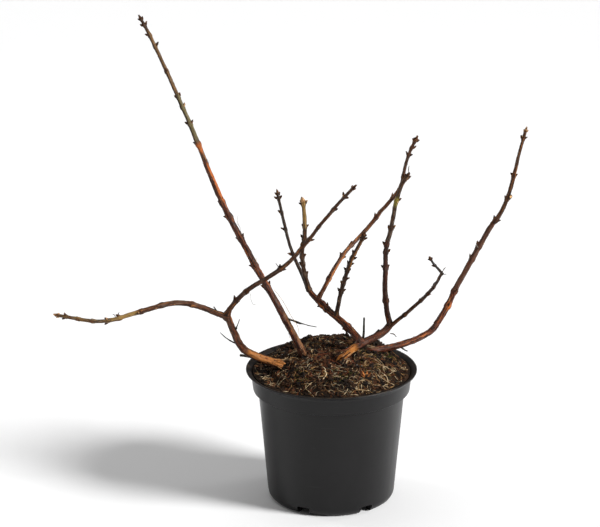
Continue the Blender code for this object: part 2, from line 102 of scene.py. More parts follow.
# The compost: level near the lip, with a low mound that lies towards the back
COMPOST_LEVEL = 147.2
COMPOST_RADIUS = 86.8
COMPOST_FOOT = 11.2
MOUND_HEIGHT = 22.0
MOUND_CENTRE = (4.0, 30.0)
MOUND_REACH = (80.0, 60.0, 120.0)
MOUND_POWER = 2.5
LUMP_SIZE = 14.0
LUMP_HEIGHT = 1.3
BED_RINGS = 120
BED_SIDES = 250
CLOD_COUNT = 1900
PEAT_COUNT = 1700
STRAW_COUNT = 640
PALE_COUNT = 90
ROOT_COUNT = 190
CHIP_COUNT = 210
MOSS_TUFTS = 210

# The limbs: how their feet spread, how they swell at a pair of buds and how they zigzag there
FLARE = 0.30
FLARE_REACH = 7.0
SWELLING = 0.14
ZIGZAG = 0.09
BARK_STEP = 0.9
BARK_SIDE = 0.75
SUNK_LENGTH = 6.0
# How a torn foot narrows, ring by ring, and how far its splinters reach
TORN_END = ((0.22, 3.0), (0.62, 7.0), (0.84, 5.0), (0.93, 2.5), (0.97, 1.0))

# The buds: pointed, in opposite pairs that lean away from their shoot
BUD_LENGTH = 4.7
BUD_GIRTH = 2.8
BUD_LEAN = 38.0
END_BUD_LENGTH = 6.0
BUD_CLEARANCE = 1.2
WANDER = 0.45
JOINT_LAP = 1.8
SAME_GIRTH = 0.7
BARK_COVER = 0.30


@dataclass(frozen=True)
class Limb:
    """One limb as a single smooth bend.

    leaves and arrives are a heading, a climb and a pull: the way it points at its foot and at
    its tip, and how far it keeps that way. girth is its diameter at foot and tip. A limb stands
    on the compost at foot, or springs from another limb, at a share of that one's length.
    Pairs of buds sit at the shares of its own length in nodes. Each letter of sides says which
    of them the node keeps: b both, l or r the left or right one, f a pair that faces front and back.
    """

    name: str
    tip: tuple
    leaves: tuple
    arrives: tuple
    girth: tuple
    foot: tuple = None
    parent: str = None
    share: float = 1.0
    nodes: tuple = ()
    sides: str = ""
    bark: str = "red_brown"


@dataclass(frozen=True)
class Twig:
    """A short dead twig that springs from its limb, bent by droop on its way to its tip."""

    limb: str
    share: float
    reach: tuple
    droop: float
    girth: tuple


LIMBS = (
    Limb("tall_stem", (-140, 46, 377), (165, 65, 75), (162, 69, 90), (7.2, 5.0),
         foot=(-31, -1, 165), nodes=(0.36, 0.47, 0.61, 0.72, 0.79), sides="blbll", bark="tall"),
    Limb("tall_shoot", (-209, 70, 531), (147, 65, 37), (168, 60, 37), (4.8, 2.7), parent="tall_stem",
         nodes=(0.11, 0.25, 0.37, 0.44, 0.62, 0.80, 0.88, 0.95), sides="lbrbfrlb", bark="tall_top"),
    Limb("left_stem", (-115, -36, 226), (-179, 18, 54), (-161, 68, 48), (8.4, 6.4),
         foot=(-56, -11, 158), bark="left"),
    Limb("left_bough", (-240, -70, 231), (-176, 25, 69), (-174, -13, 80), (5.8, 3.7), parent="left_stem",
         share=0.95, nodes=(0.32, 0.58, 0.75, 0.92), sides="fffr", bark="tan"),
    Limb("left_shoot", (-295, -88, 243), (-160, -2, 17), (-173, 15, 35), (3.6, 3.0), parent="left_bough",
         nodes=(0.04, 0.34, 0.62, 0.85), sides="bffb", bark="olive"),
    Limb("crossing_bough", (-35, -62, 308), (-26, 68, 37), (-10, 56, 40), (4.8, 3.7), parent="left_stem",
         share=0.99, nodes=(0.18, 0.32, 0.74), sides="lfb", bark="brown"),
    Limb("crossing_shoot", (22, -84, 385), (-16, 47, 22), (-12, 47, 44), (3.6, 2.6),
         parent="crossing_bough", nodes=(0.05, 0.17, 0.37, 0.65, 0.85), sides="lrfrb", bark="brown"),
    Limb("right_stem", (65, 12, 197), (28, 37, 32), (24, 65, 17), (8.0, 7.0),
         foot=(9, -18, 167), bark="crown"),
    Limb("centre_stem", (-26, 50, 226), (122, 40, 27), (140, 45, 28), (7.6, 5.4), parent="right_stem",
         share=0.42, nodes=(0.29, 0.66, 0.74), sides="lrl", bark="red_brown"),
    Limb("centre_left_shoot", (-60, 100, 322), (163, 66, 69), (137, 73, 69), (3.4, 2.5),
         parent="centre_stem", nodes=(0.36, 0.64, 0.81, 0.95), sides="lllb", bark="dark"),
    Limb("centre_shoot", (-32, 10, 341), (-156, 74, 73), (-126, 77, 67), (4.6, 3.7), parent="centre_stem",
         share=0.97, nodes=(0.16, 0.28, 0.36, 0.59, 0.73, 0.97), sides="rlrlbb", bark="centre"),
    Limb("arching_bough", (56, 114, 296), (23, 61, 79), (19, 51, 66), (4.2, 3.8), parent="centre_stem",
         share=0.81, nodes=(0.20, 0.43, 0.60, 0.94), sides="fbll", bark="arching"),
    Limb("arching_shoot", (96, 132, 376), (12, 43, 55), (9, 63, 54), (3.7, 2.9), parent="arching_bough",
         nodes=(0.23, 0.52, 0.79, 0.88, 0.97), sides="lfbrb", bark="brown"),
    Limb("budded_side_shoot", (35, -8, 308), (-9, 81, 69), (-63, 57, 25), (4.4, 3.1), parent="centre_stem",
         share=0.49, nodes=(0.27, 0.35, 0.41, 0.50, 0.58, 0.65, 0.72, 0.94), sides="blrbbrlb",
         bark="budded"),
    Limb("upright_bough", (61, -6, 301), (-167, 68, 23), (-50, 77, 23), (5.4, 4.4), parent="right_stem",
         nodes=(0.28, 0.68, 0.86, 0.95), sides="fbrl", bark="dark_red"),
    Limb("upright_shoot", (81, -27, 381), (-25, 70, 21), (-24, 58, 32), (4.3, 3.4), parent="upright_bough",
         nodes=(0.18, 0.60, 0.94), sides="brb", bark="upright"),
    Limb("side_bough", (118, -60, 281), (-10, 42, 72), (-70, 44, 35), (3.7, 2.7), parent="right_stem",
         share=0.93, nodes=(0.20, 0.42, 0.55, 0.69), sides="ffff", bark="brown"),
    Limb("side_shoot", (104, -88, 307), (-149, 48, 18), (-118, 47, 13), (2.2, 1.8), parent="side_bough",
         nodes=(0.45,), sides="l", bark="dark"),
    Limb("outer_stem", (119, 52, 184), (15, -4, 19), (50, 57, 19), (6.6, 6.2), foot=(43, 15, 165),
         bark="red_brown"),
    Limb("outer_bough", (181, 76, 294), (20, 52, 28), (6, 59, 78), (6.0, 4.8), parent="outer_stem",
         nodes=(0.18, 0.32, 0.64, 0.77), sides="ffll", bark="outer"),
    Limb("outer_shoot", (214, 60, 407), (6, 43, 26), (-39, 72, 42), (4.7, 2.5), parent="outer_bough",
         nodes=(0.04, 0.28, 0.52, 0.91), sides="bbbb", bark="brown"),
    Limb("dead_stick", (37, 48, 192), (0, 86, 8), (60, 88, 8), (1.9, 1.5), foot=(36, 47, 166), bark="dead"),
    Limb("dead_stub", (54, 44, 179), (-8, 50, 5), (-8, 48, 6), (2.4, 1.8), foot=(42, 46, 165), bark="dead"),
    Limb("rim_twig", (-102, 21, 157), (190, 30, 8), (190, 8, 8), (1.8, 2.4), foot=(-79, 27, 149),
         bark="dead"),
)

MASSES = ("tall_shoot", "left_shoot", "crossing_shoot", "centre_left_shoot", "centre_shoot",
          "arching_shoot", "budded_side_shoot", "upright_shoot", "side_shoot", "outer_shoot")

TWIGS = (
    Twig("tall_stem", 0.20, (36, -8, -9), 1.5, (2.2, 1.3)),
    Twig("left_stem", 0.57, (-21, -4, 15), 2.5, (2.2, 1.3)),
    Twig("left_stem", 0.78, (7, -6, 15), 3.0, (2.0, 1.2)),
    Twig("left_bough", 0.07, (-7, -3, 10), 0.5, (2.6, 2.0)),
    Twig("outer_stem", 0.40, (9, -6, -5), 1.0, (2.0, 2.2)),
    Twig("outer_stem", 0.86, (5, -3, 10), 1.0, (1.8, 1.2)),
)

# Strips and prongs that stand off a limb: a finish, a width, a thickness and a route
STRIPS = (
    ("pale", 0.95, 0.45, ((-64, 10, 239), (-58, 8, 232), (-52, 6, 223), (-47, 4, 214), (-44, 2, 209),
                        (-38, 0, 200), (-36, -2, 191), (-37, -3, 184))),
    ("pale", 0.7, 0.4, ((-45, 4, 208), (-47, 3, 199), (-48, 2, 193), (-46, 0, 185), (-43, -2, 179))),
    ("grey", 0.75, 0.4, ((-99, 36, 289), (-100, 33, 297), (-101, 31, 303), (-104, 30, 311),
                         (-103, 29, 319))),
    ("grey", 0.65, 0.4, ((-94, -44, 261), (-89, -44, 252), (-88, -44, 245), (-86, -44, 240),
                         (-83, -44, 240))),
    ("dark", 1.0, 0.8, ((117, -60, 280), (120, -61, 286), (122, -61, 288))),
    ("dark", 0.9, 0.7, ((117, -60, 281), (120, -60, 280), (123, -60, 280))),
    ("dark", 1.3, 1.0, ((-55, -55, 285), (-58, -56, 287), (-61, -56, 291))),
    ("dark", 1.1, 0.9, ((-55, -55, 285), (-57, -55, 281), (-60, -55, 279))),
    ("dark", 1.2, 1.0, ((82, -27, 384), (82, -27, 388), (82.5, -27, 392))),
    ("grey", 0.8, 0.6, ((166, 70, 266), (163, 69, 270), (162, 69, 274))),
    ("dark", 1.5, 1.2, ((73, 40, 172), (70, 38, 176), (66, 37, 177))),
    ("dark", 1.1, 0.9, ((-49, 8, 199), (-54, 8, 202), (-57, 8, 207))),
    ("dark", 1.3, 1.0, ((-234, -68, 232), (-232, -68, 236), (-230, -68, 239))),
    ("dark", 1.0, 0.8, ((-234, -68, 232), (-235, -68, 236), (-237, -68, 237))),
    ("straw", 2.4, 0.7, ((-66, -14, 161), (-58, -17, 157), (-50, -20, 153), (-44, -22, 150))),
    ("straw", 1.4, 0.6, ((-70, -9, 163), (-62, -10, 159), (-54, -11, 155.5), (-47, -12, 152))),
)

# Torn strands at a stem's foot: how many, how far up they start, and the finishes they are dealt
FRAYS = (
    ("right_stem", 46, 19.0, (3, 2, 2, 4)),
    ("left_stem", 24, 20.0, (3, 4, 2)),
    ("tall_stem", 26, 16.0, (0, 4, 2)),
    ("outer_stem", 14, 14.0, (0, 2)),
)

# Broken spurs: the limb, the share of its length, how far each leans right and forward, its size
KNOBS = (
    ("outer_shoot", 0.31, 0.7, 1.0, 2.7),
    ("outer_bough", 0.80, 0.9, 0.3, 1.6),
    ("outer_shoot", 0.93, -0.8, 0.6, 1.2),
    ("upright_shoot", 0.58, 0.5, 0.8, 1.5),
)

# Patches of moss on the bed: the middle of each and how far it spreads
MOSS_PATCHES = ((42, 2, 17), (60, -22, 14), (28, 46, 9), (12, -52, 16), (-30, -46, 12), (34, -34, 14),
                (66, 14, 10))


def linear(*levels):
    """A colour in display levels, 0 to 255, as the light values that a shader takes."""
    values = [level / 255.0 for level in levels]
    return tuple(v / 12.92 if v <= 0.04045 else ((v + 0.055) / 1.055) ** 2.4 for v in values)


def direction(heading, climb):
    """The way that a heading from +X towards +Y, and a climb from level, point."""
    turn, rise = math.radians(heading), math.radians(climb)
    return Vector((math.cos(rise) * math.cos(turn), math.cos(rise) * math.sin(turn), math.sin(rise)))


def bend(start, first, last, tip, step):
    """A point of the cubic curve through start and tip that first and last pull on."""
    back = 1.0 - step
    return start * back**3 + first * 3 * step * back**2 + last * 3 * step**2 * back + tip * step**3


class Route:
    """A limb's middle line, measured by its own length."""

    def __init__(self, limb, start, stock=None):
        self.limb = limb
        self.stock = stock
        tip = Vector(limb.tip)
        first = start + direction(*limb.leaves[:2]) * limb.leaves[2]
        last = tip - direction(*limb.arrives[:2]) * limb.arrives[2]
        self.points = [bend(start, first, last, tip, step / 60) for step in range(61)]
        self.lengths = [0.0]
        for here, there in zip(self.points, self.points[1:]):
            self.lengths.append(self.lengths[-1] + (there - here).length)
        self.length = self.lengths[-1]
        self.run = stock.run + stock.length if self.carries_on() else 0.0
        self.chain = stock.chain if self.carries_on() else limb.name
        self.kinks = self.make_kinks()

    def carries_on(self):
        """Whether this limb goes on from the tip of the one that it springs from, at about its girth."""
        if not self.stock or self.limb.share < 1.0:
            return False
        return self.limb.girth[0] > SAME_GIRTH * self.stock.limb.girth[1]

    def smooth(self, share):
        wanted = min(max(share, 0.0), 1.0) * self.length
        for index in range(1, len(self.points)):
            if self.lengths[index] >= wanted:
                break
        span = self.lengths[index] - self.lengths[index - 1]
        mix = (wanted - self.lengths[index - 1]) / span
        here, there = self.points[index - 1], self.points[index]
        return here.lerp(there, mix), (there - here).normalized()

    def make_kinks(self):
        """A bare shoot zigzags a little: it turns at each pair of buds."""
        dice = random.Random(f"{SEED} {self.limb.name}")
        kinks = [(0.0, Vector())]
        for share in self.limb.nodes:
            kinks.append((share, any_way(dice) * ZIGZAG * self.girth(share)))
        kinks.append((1.0, Vector()))
        return kinks

    def at(self, share):
        """The middle line's place and direction at a share of its length."""
        place, along = self.smooth(share)
        for (start, low), (end, high) in zip(self.kinks, self.kinks[1:]):
            if start <= share <= end:
                place = place + low.lerp(high, (share - start) / (end - start))
                break
        return place, along

    def girth(self, share):
        """The plain diameter, before any swelling."""
        foot, tip = self.limb.girth
        return foot + (tip - foot) * share

    def radius(self, share):
        size = self.girth(share)
        if self.limb.foot:
            size += self.limb.girth[0] * FLARE * math.exp(-share * self.length / FLARE_REACH)
        for node in self.limb.nodes:
            away = (share - node) * self.length / (0.7 * self.girth(node))
            size += self.girth(node) * SWELLING * math.exp(-away * away)
        return size / 2

    def side(self, share):
        """The way across the limb that shows as its right-hand side from the front."""
        across = Vector((0.0, 1.0, 0.0)).cross(self.at(share)[1])
        return across.normalized()


def lay_routes():
    """Every limb's route, each parent before the limbs that spring from it."""
    routes = {}
    for limb in LIMBS:
        stock = routes.get(limb.parent)
        start = stock.at(limb.share)[0] if stock else Vector(limb.foot)
        routes[limb.name] = Route(limb, start, stock)
    return routes


class Heap:
    """Points and faces gathered in millimetres, and made into one mesh at the end."""

    def __init__(self):
        self.points = []
        self.faces = []
        self.along = []
        self.finish = []

    def add(self, points, faces, along, finish=0):
        first = len(self.points)
        self.points.extend(points)
        self.faces.extend(tuple(first + corner for corner in face) for face in faces)
        self.along.extend(along)
        self.finish.extend([finish] * len(faces))

    def make(self, name, materials, slot, replaced=(), sharp=None):
        mesh = bpy.data.meshes.new(name)
        mesh.from_pydata([point * MM for point in self.points], [], self.faces)
        layer = mesh.uv_layers.new(name="along")
        layer.data.foreach_set("uv", [value for pair in self.along for value in pair])
        for material in materials:
            mesh.materials.append(material)
        mesh.polygons.foreach_set("material_index", self.finish)
        mesh.shade_smooth()
        if sharp:
            mesh.set_sharp_from_angle(angle=math.radians(sharp))
        mesh.update()
        return place(name, mesh, slot, replaced)


def place(name, mesh, slot, replaced=()):
    """A mesh put in the scene and tied to the plant's body; the slot is not used."""
    item = bpy.data.objects.new(name, mesh)
    bpy.context.scene.collection.objects.link(item)
    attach(item, BODY)
    if replaced:
        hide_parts(*replaced)
    return item


def frames(places):
    """The way along a line at each of its places, with two ways across that turn as little as they can."""
    ways = []
    for index in range(len(places)):
        here = places[max(index - 1, 0)]
        there = places[min(index + 1, len(places) - 1)]
        ways.append((there - here).normalized())
    up = Vector((0.0, -1.0, 0.0)) if abs(ways[0].y) < 0.9 else Vector((1.0, 0.0, 0.0))
    across = (up - ways[0] * up.dot(ways[0])).normalized()
    found = []
    for way in ways:
        across = (across - way * across.dot(way)).normalized()
        found.append((way, across, way.cross(across)))
    return found


def add_skin(heap, rows, marks, finish=0):
    """A closed skin over rings of points: each ring joins the next, and both ends close to a fan."""
    sides = len(rows[0])
    points = [point for row in rows for point in row]
    faces = []
    along = []
    for ring in range(len(rows) - 1):
        low, high = marks[ring], marks[ring + 1]
        for side in range(sides):
            after = (side + 1) % sides
            faces.append((ring * sides + side, ring * sides + after,
                          (ring + 1) * sides + after, (ring + 1) * sides + side))
            left, right = side / sides, (side + 1) / sides
            along.extend(((left, low), (right, low), (right, high), (left, high)))
    for ring, turned in ((0, True), (len(rows) - 1, False)):
        middle = sum(rows[ring], Vector()) / sides
        points.append(middle)
        hub = len(points) - 1
        for side in range(sides):
            after = (side + 1) % sides
            corners = [(ring * sides + side, side / sides), (ring * sides + after, (side + 1) / sides)]
            if turned:
                corners.reverse()
            corners.append((hub, (side + 0.5) / sides))
            faces.append(tuple(corner for corner, _ in corners))
            along.extend((across, marks[ring]) for _, across in corners)
    heap.add(points, faces, along, finish)


def add_tube(heap, places, radii, sides=5, finish=0, flat=1.0, mark=0.0):
    """A round or flattened tube along the places."""
    rows = []
    marks = []
    run = mark
    last = places[0]
    for spot, radius, (_, across, over) in zip(places, radii, frames(places)):
        run += (spot - last).length
        last = spot
        marks.append(run * MM)
        row = []
        for side in range(sides):
            turn = math.tau * side / sides
            row.append(spot + across * math.cos(turn) * radius + over * math.sin(turn) * radius * flat)
        rows.append(row)
    add_skin(heap, rows, marks, finish)


def any_way(dice):
    """A random shift, up to 1 along each axis."""
    return Vector((dice.uniform(-1, 1), dice.uniform(-1, 1), dice.uniform(-1, 1)))


def fall_off(distance, reach):
    """1 at no distance, and next to nothing at twice the reach."""
    return math.exp(-(distance / reach) ** 2)


def bark_relief(chain_seed, turn, run, size, age):
    """How far the bark stands out at a turn round the limb and a run along it, in millimetres."""
    x = math.cos(turn) * size
    y = math.sin(turn) * size
    ridge = noise.noise(Vector((x * 1.3 + chain_seed, y * 1.3, run * 0.050)))
    fine = noise.noise(Vector((x * 2.9, y * 2.9 + chain_seed, run * 0.12)))
    plate = noise.noise(Vector((x * 0.75 - chain_seed, y * 0.75, run * 0.040 + 7.0)))
    layer = 1.0 / (1.0 + math.exp(-(plate - 0.08) * 34.0))
    knobble = noise.noise(Vector((x * 0.5, y * 0.5, run * 0.19 + chain_seed)))
    return size * (0.13 * ridge + 0.08 * fine + 0.13 * knobble) * age + 0.30 * age * layer


def crotch(route, share):
    """A limb that springs from another's side is thicker where it leaves it."""
    if not route.stock or route.carries_on():
        return 0.0
    hold = route.stock.radius(route.limb.share)
    away = max(0.0, share * route.length - hold * 0.6)
    return hold * 0.42 * math.exp(-away / (hold * 0.75))


def stray(route, share):
    """A small wandering of the limb's middle line that dies out at both of its ends."""
    run = (route.run + share * route.length) * 0.055
    seed = sum(ord(letter) for letter in route.chain) * 1.7
    hold = min(1.0, share * route.length / 8.0, (1.0 - share) * route.length / 8.0)
    # noise_vector takes its offsets from the clock, so each axis has a reading of its own
    sway = Vector([noise.noise(Vector((run + 0.31, seed + 0.57, 4.3 + 11.7 * axis))) for axis in range(3)])
    return sway * WANDER * max(0.0, hold)


def bark_rings(route):
    """The shares of the limb's length at which the fine bark has a ring."""
    count = max(6, round(route.length / BARK_STEP))
    return [index / count for index in range(count + 1)]


def add_bark(heap, route):
    """The limb's bark, with its fibres, loose layers and a collar at each pair of buds."""
    limb = route.limb
    age = min(1.0, 0.35 + 0.65 * max(0.0, (route.girth(0.0) - 2.0) / 5.0))
    chain_seed = sum(ord(letter) for letter in route.chain) * 0.37
    sides = max(12, round(math.pi * max(limb.girth) / BARK_SIDE))
    shares = bark_rings(route)
    spots = [route.at(share)[0] + stray(route, share) for share in shares]
    if limb.foot:
        way = route.at(0.0)[1]
        spots = [spots[0] - way * SUNK_LENGTH, spots[0] - way * SUNK_LENGTH * 0.5] + spots
        shares = [0.0, 0.0] + shares
    if route.carries_on():
        spots = [spots[0] - route.at(0.0)[1] * JOINT_LAP] + spots
        shares = [0.0] + shares
    rows = []
    marks = []
    for share, spot, (_, across, over) in zip(shares, spots, frames(spots)):
        run = route.run + share * route.length
        girth = route.radius(share) + crotch(route, share)
        collar = 0.0
        for node in limb.nodes:
            away = (share - node) * route.length
            collar += 0.30 * fall_off(away + 1.9, 0.6) + 0.16 * fall_off(away - 1.4, 0.8)
            collar += girth * 0.16 * fall_off(away + 0.4, 1.9)
        if route.carries_on():
            settle = math.exp(-share * route.length / 5.0)
            girth += (route.stock.radius(1.0) - route.radius(0.0)) * settle
        torn = TORN_END[len(rows)] if limb.foot and len(rows) < len(TORN_END) else (1.0, 0.0)
        way = route.at(share)[1]
        row = []
        for side in range(sides):
            turn = math.tau * side / sides
            out = girth * 0.98 + BARK_COVER + collar + bark_relief(chain_seed, turn, run, girth, age)
            out *= torn[0]
            split = torn[1] * noise.noise(Vector((math.cos(turn) * 2.1, math.sin(turn) * 2.1, chain_seed)))
            row.append(spot + across * math.cos(turn) * out + over * math.sin(turn) * out + way * split)
        rows.append(row)
        marks.append(run * MM)
    add_skin(heap, rows, marks)


def add_scale(heap, root, way, aside, length, width, hug, lift, finish):
    """One bud scale: a thin pointed plate that curves round the bud and opens a little at its tip."""
    over = way.cross(aside)
    steps = 4
    spread = (-1.0, -0.5, 0.0, 0.5, 1.0)
    outer = []
    inner = []
    for step in range(steps + 1):
        t = step / steps
        half = width * (0.75 + 0.5 * t) * (1.0 - t**2.2) + 0.03
        rise = hug * (0.72 + 0.55 * math.sin(math.pi * min(1.0, t * 0.8 + 0.15)) - 0.55 * t) + lift * t * t
        for place_across in spread:
            angle = place_across * half / max(hug, 0.3)
            out = aside * math.cos(angle) + over * math.sin(angle)
            spot = root + way * length * t + out * rise
            outer.append(spot)
            inner.append(spot - out * 0.10)
    columns = len(spread)
    points = outer + inner
    shift = len(outer)
    faces = []
    along = []
    for step in range(steps):
        for column in range(columns - 1):
            a = step * columns + column
            ring = (a, a + 1, a + columns + 1, a + columns)
            faces.append(ring)
            faces.append(tuple(shift + corner for corner in reversed(ring)))
            low, high = step / steps, (step + 1) / steps
            along.extend(((0.2, low), (0.8, low), (0.8, high), (0.2, high)))
            along.extend(((0.2, high), (0.8, high), (0.8, low), (0.2, low)))
    border = [column for column in range(columns)]
    border += [step * columns + columns - 1 for step in range(1, steps + 1)]
    border += [steps * columns + column for column in range(columns - 2, -1, -1)]
    border += [step * columns for step in range(steps - 1, 0, -1)]
    for here, there in zip(border, border[1:] + border[:1]):
        faces.append((there, here, shift + here, shift + there))
        along.extend(((0.5, 0.5),) * 4)
    heap.add(points, faces, along, finish)


def add_bud(heap, root, way, length, girth, dice, finish):
    """A pointed bud: a body under pairs of scales that overlap upwards, each pair across the last."""
    places = [root + way * length * t for t in (-0.12, 0.0, 0.16, 0.34, 0.55, 0.76, 0.92, 1.0)]
    radii = [girth / 2 * r for r in (0.60, 0.74, 0.92, 1.0, 0.86, 0.55, 0.24, 0.06)]
    add_tube(heap, places, radii, sides=8, finish=finish)
    aside = way.orthogonal().normalized()
    spin = dice.uniform(0, math.tau)
    for pair in range(4):
        start = 0.02 + 0.17 * pair
        for half in (0.0, math.pi):
            turn = spin + pair * math.pi / 2 + half + dice.uniform(-0.2, 0.2)
            out = Matrix.Rotation(turn, 3, way) @ aside
            reach = length * dice.uniform(0.42, 0.56)
            hug = girth / 2 * (1.06 - 0.16 * pair)
            lift = girth * dice.uniform(0.05, 0.42) * (1.0 - 0.18 * pair)
            tone = finish if dice.random() < 0.7 else (finish + 1) % 3
            add_scale(heap, root + way * length * start, way, out, reach, girth * 0.33, hug, lift, tone)


def add_flake(heap, root, way, out, length, width, lift, finish):
    """A flake of bark: held at its foot, curling away from the limb at its free end."""
    over = way.cross(out).normalized()
    places = []
    steps = 5
    for step in range(steps + 1):
        t = step / steps
        places.append(root + way * length * t + out * lift * t * t + over * width * 0.15 * math.sin(3 * t))
    rows = []
    marks = []
    for step, spot in enumerate(places):
        t = step / steps
        half = width / 2 * (1.0 - 0.75 * t**3)
        row = []
        for x, y in ((-1.0, -0.5), (-0.4, 0.15), (0.4, 0.15), (1.0, -0.5), (0.4, -0.35), (-0.4, -0.35)):
            row.append(spot + over * x * half + out * y * 0.28)
        rows.append(row)
        marks.append(length * t * MM)
    add_skin(heap, rows, marks, finish)


def surface_frame(route, share, turn):
    """A place on the limb's skin at a turn from its right-hand side, with the ways out and along."""
    middle, along = route.at(share)
    right = route.side(share)
    front = right.cross(along).normalized()
    out = right * math.cos(turn) + front * math.sin(turn)
    return middle + out * route.radius(share), out, along


def touches_other(routes, own, spot, reach):
    """Whether a place is too near to any limb but its own."""
    for name, route in routes.items():
        if name == own:
            continue
        for step in range(41):
            if (route.at(step / 40)[0] - spot).length < route.radius(step / 40) + reach:
                return True
    return False


def grow_buds(routes, heaps):
    """Buds and torn collars at every node, and a cluster of buds at the end of each shoot."""
    for route in routes.values():
        limb = route.limb
        dice = random.Random(f"{SEED} {limb.name} fine buds")
        for share, keep in zip(limb.nodes, limb.sides):
            right = route.side(share)
            front = right.cross(route.at(share)[1]).normalized()
            base = front if keep == "f" else right
            for letter, way in (("r", base), ("l", -base)):
                grow = dice.uniform(0.8, 1.15)
                aside = (way + any_way(dice) * 0.22).normalized()
                middle, along = route.at(share)
                thick = route.radius(share)
                spot = middle + aside * (thick + BUD_LENGTH * grow * 0.6)
                if keep not in ("b", "f", letter) or touches_other(routes, limb.name, spot, BUD_CLEARANCE):
                    continue
                tilt = math.radians(BUD_LEAN + dice.uniform(-10, 14))
                out = (aside * math.sin(tilt) + along * math.cos(tilt)).normalized()
                girth = BUD_GIRTH * dice.uniform(0.85, 1.1)
                add_bud(heaps["buds"], middle + aside * thick * 0.72, out, BUD_LENGTH * grow, girth, dice,
                        dice.choice((0, 0, 1)))
            for _ in range(7):
                turn = dice.uniform(0, math.tau)
                spot, out, along = surface_frame(route, share + dice.uniform(-1.6, 1.2) / route.length, turn)
                lean = (along + out * dice.uniform(0.3, 1.3)).normalized()
                size = dice.uniform(1.0, 2.3)
                add_flake(heaps["flakes"], spot - out * 0.25, lean, out, size, size * 0.45, size * 0.2,
                          dice.choice((0, 0, 1)))
        if limb.name in MASSES:
            middle, along = route.at(1.0)
            thick = route.radius(1.0)
            pale = 2 if limb.name in ("centre_shoot", "outer_shoot", "left_shoot") else 0
            girth = max(3.2, thick * 2.5)
            add_bud(heaps["buds"], middle - along * 1.4, along, END_BUD_LENGTH, girth, dice, pale)
            for side in (-1, 1):
                way = (along * 0.82 + route.side(1.0) * side * 0.55).normalized()
                root = middle - along * 2.4 + route.side(1.0) * side * thick * 0.5
                length = END_BUD_LENGTH * dice.uniform(0.55, 0.85)
                add_bud(heaps["buds"], root, way, length, 2.3, dice, pale)


def grow_flakes(routes, heap):
    """Loose bark along the older limbs, thickest on the stems."""
    for route in routes.values():
        limb = route.limb
        if limb.bark == "dead":
            continue
        dice = random.Random(f"{SEED} {limb.name} flakes")
        girth = sum(limb.girth) / 2
        count = round(route.length * (0.16 + 0.05 * girth))
        for _ in range(count):
            share = dice.uniform(0.02, 0.98)
            spot, out, along = surface_frame(route, share, dice.uniform(0, math.tau))
            sense = 1 if dice.random() < 0.6 else -1
            length = dice.uniform(1.6, 3.0 + girth * 0.7)
            lift = length * dice.uniform(0.02, 0.30) * (1.6 if dice.random() < 0.12 else 1.0)
            width = dice.uniform(0.5, 0.28 * girth + 0.5)
            add_flake(heap, spot - out * 0.22, along * sense, out, length, width, lift,
                      dice.choice((0, 1, 1, 2)))


def grow_twigs(routes, heap):
    """The short dead twigs: crooked, thinner towards their tips, two of them with a gall."""
    for index, twig in enumerate(TWIGS):
        route = routes[twig.limb]
        root = route.at(twig.share)[0]
        reach = Vector(twig.reach)
        sag = Vector((0.0, 0.0, -twig.droop))
        dice = random.Random(f"{SEED} twig {index}")
        steps = 14
        places = []
        radii = []
        foot, tip = twig.girth
        for number in range(steps + 1):
            t = number / steps
            wander = any_way(dice) * 0.22 * math.sin(math.pi * t)
            places.append(root + reach * t + sag * 4 * t * (1 - t) + wander)
            swell = 0.5 * fall_off(t - 0.42, 0.10) if index in (0, 2) else 0.0
            thin = dice.uniform(0.86, 1.1) * (0.72 if t > 0.5 else 1.0)
            radii.append((foot + (tip - foot) * t) / 2 * thin + swell)
        add_tube(heap, places, radii, sides=9)


def smooth_line(points, steps=6):
    """More places along a bent line, on a curve through all its points."""
    line = [Vector(point) for point in points]
    ends = [line[0] * 2 - line[1], *line, line[-1] * 2 - line[-2]]
    found = []
    for index in range(1, len(ends) - 2):
        before, here, there, after = ends[index - 1:index + 3]
        for step in range(steps):
            t = step / steps
            squared = (before * 2 - here * 5 + there * 4 - after) * t**2
            cubed = (here * 3 - before - there * 3 + after) * t**3
            found.append(0.5 * (here * 2 + (there - before) * t + squared + cubed))
    return found + [line[-1]]


def add_frays(routes, heap):
    """Torn strands at the feet of the stems, that splay out over the compost."""
    for name, count, reach, finishes in FRAYS:
        route = routes[name]
        dice = random.Random(f"{SEED} {name} frays")
        for _ in range(count):
            turn = dice.uniform(0, math.tau)
            start = dice.uniform(0.35, 1.0) * reach
            spot, out, along = surface_frame(route, start / route.length, turn)
            length = start + dice.uniform(1.0, 5.5)
            splay = dice.uniform(0.02, 0.42)
            places = []
            for step in range(8):
                t = step / 7
                point = spot - along * length * t + out * (0.15 + splay * length * t * t)
                point.z = max(point.z, crumbly(point.x, point.y) + 0.2)
                places.append(point)
            girth = dice.uniform(0.5, 1.5)
            radii = [girth / 2 * (1.0 - 0.75 * (step / 7) ** 2) for step in range(8)]
            add_tube(heap, places, radii, sides=6, finish=dice.choice(finishes), flat=0.55)


def add_knobs(routes, heap):
    """Broken spurs: a short stub with a swollen rim and a pale face."""
    for name, share, side, toward, size in KNOBS:
        route = routes[name]
        middle, along = route.at(share)
        right = route.side(share)
        front = right.cross(along).normalized()
        way = (right * side + front * toward + along * 0.35).normalized()
        foot = middle + way * route.radius(share) * 0.4
        stub = ((0.0, 0.55), (0.5, 0.7), (1.0, 0.98), (1.3, 0.9), (1.38, 0.66))
        places = [foot + way * size * reach for reach, _ in stub]
        add_tube(heap, places, [size * girth for _, girth in stub], sides=14, finish=2)
        top = foot + way * size * 1.36
        face = ((-0.2, 0.6), (0.1, 0.58), (0.25, 0.3))
        places = [top + way * reach for reach, _ in face]
        add_tube(heap, places, [size * girth for _, girth in face], sides=14, finish=3)


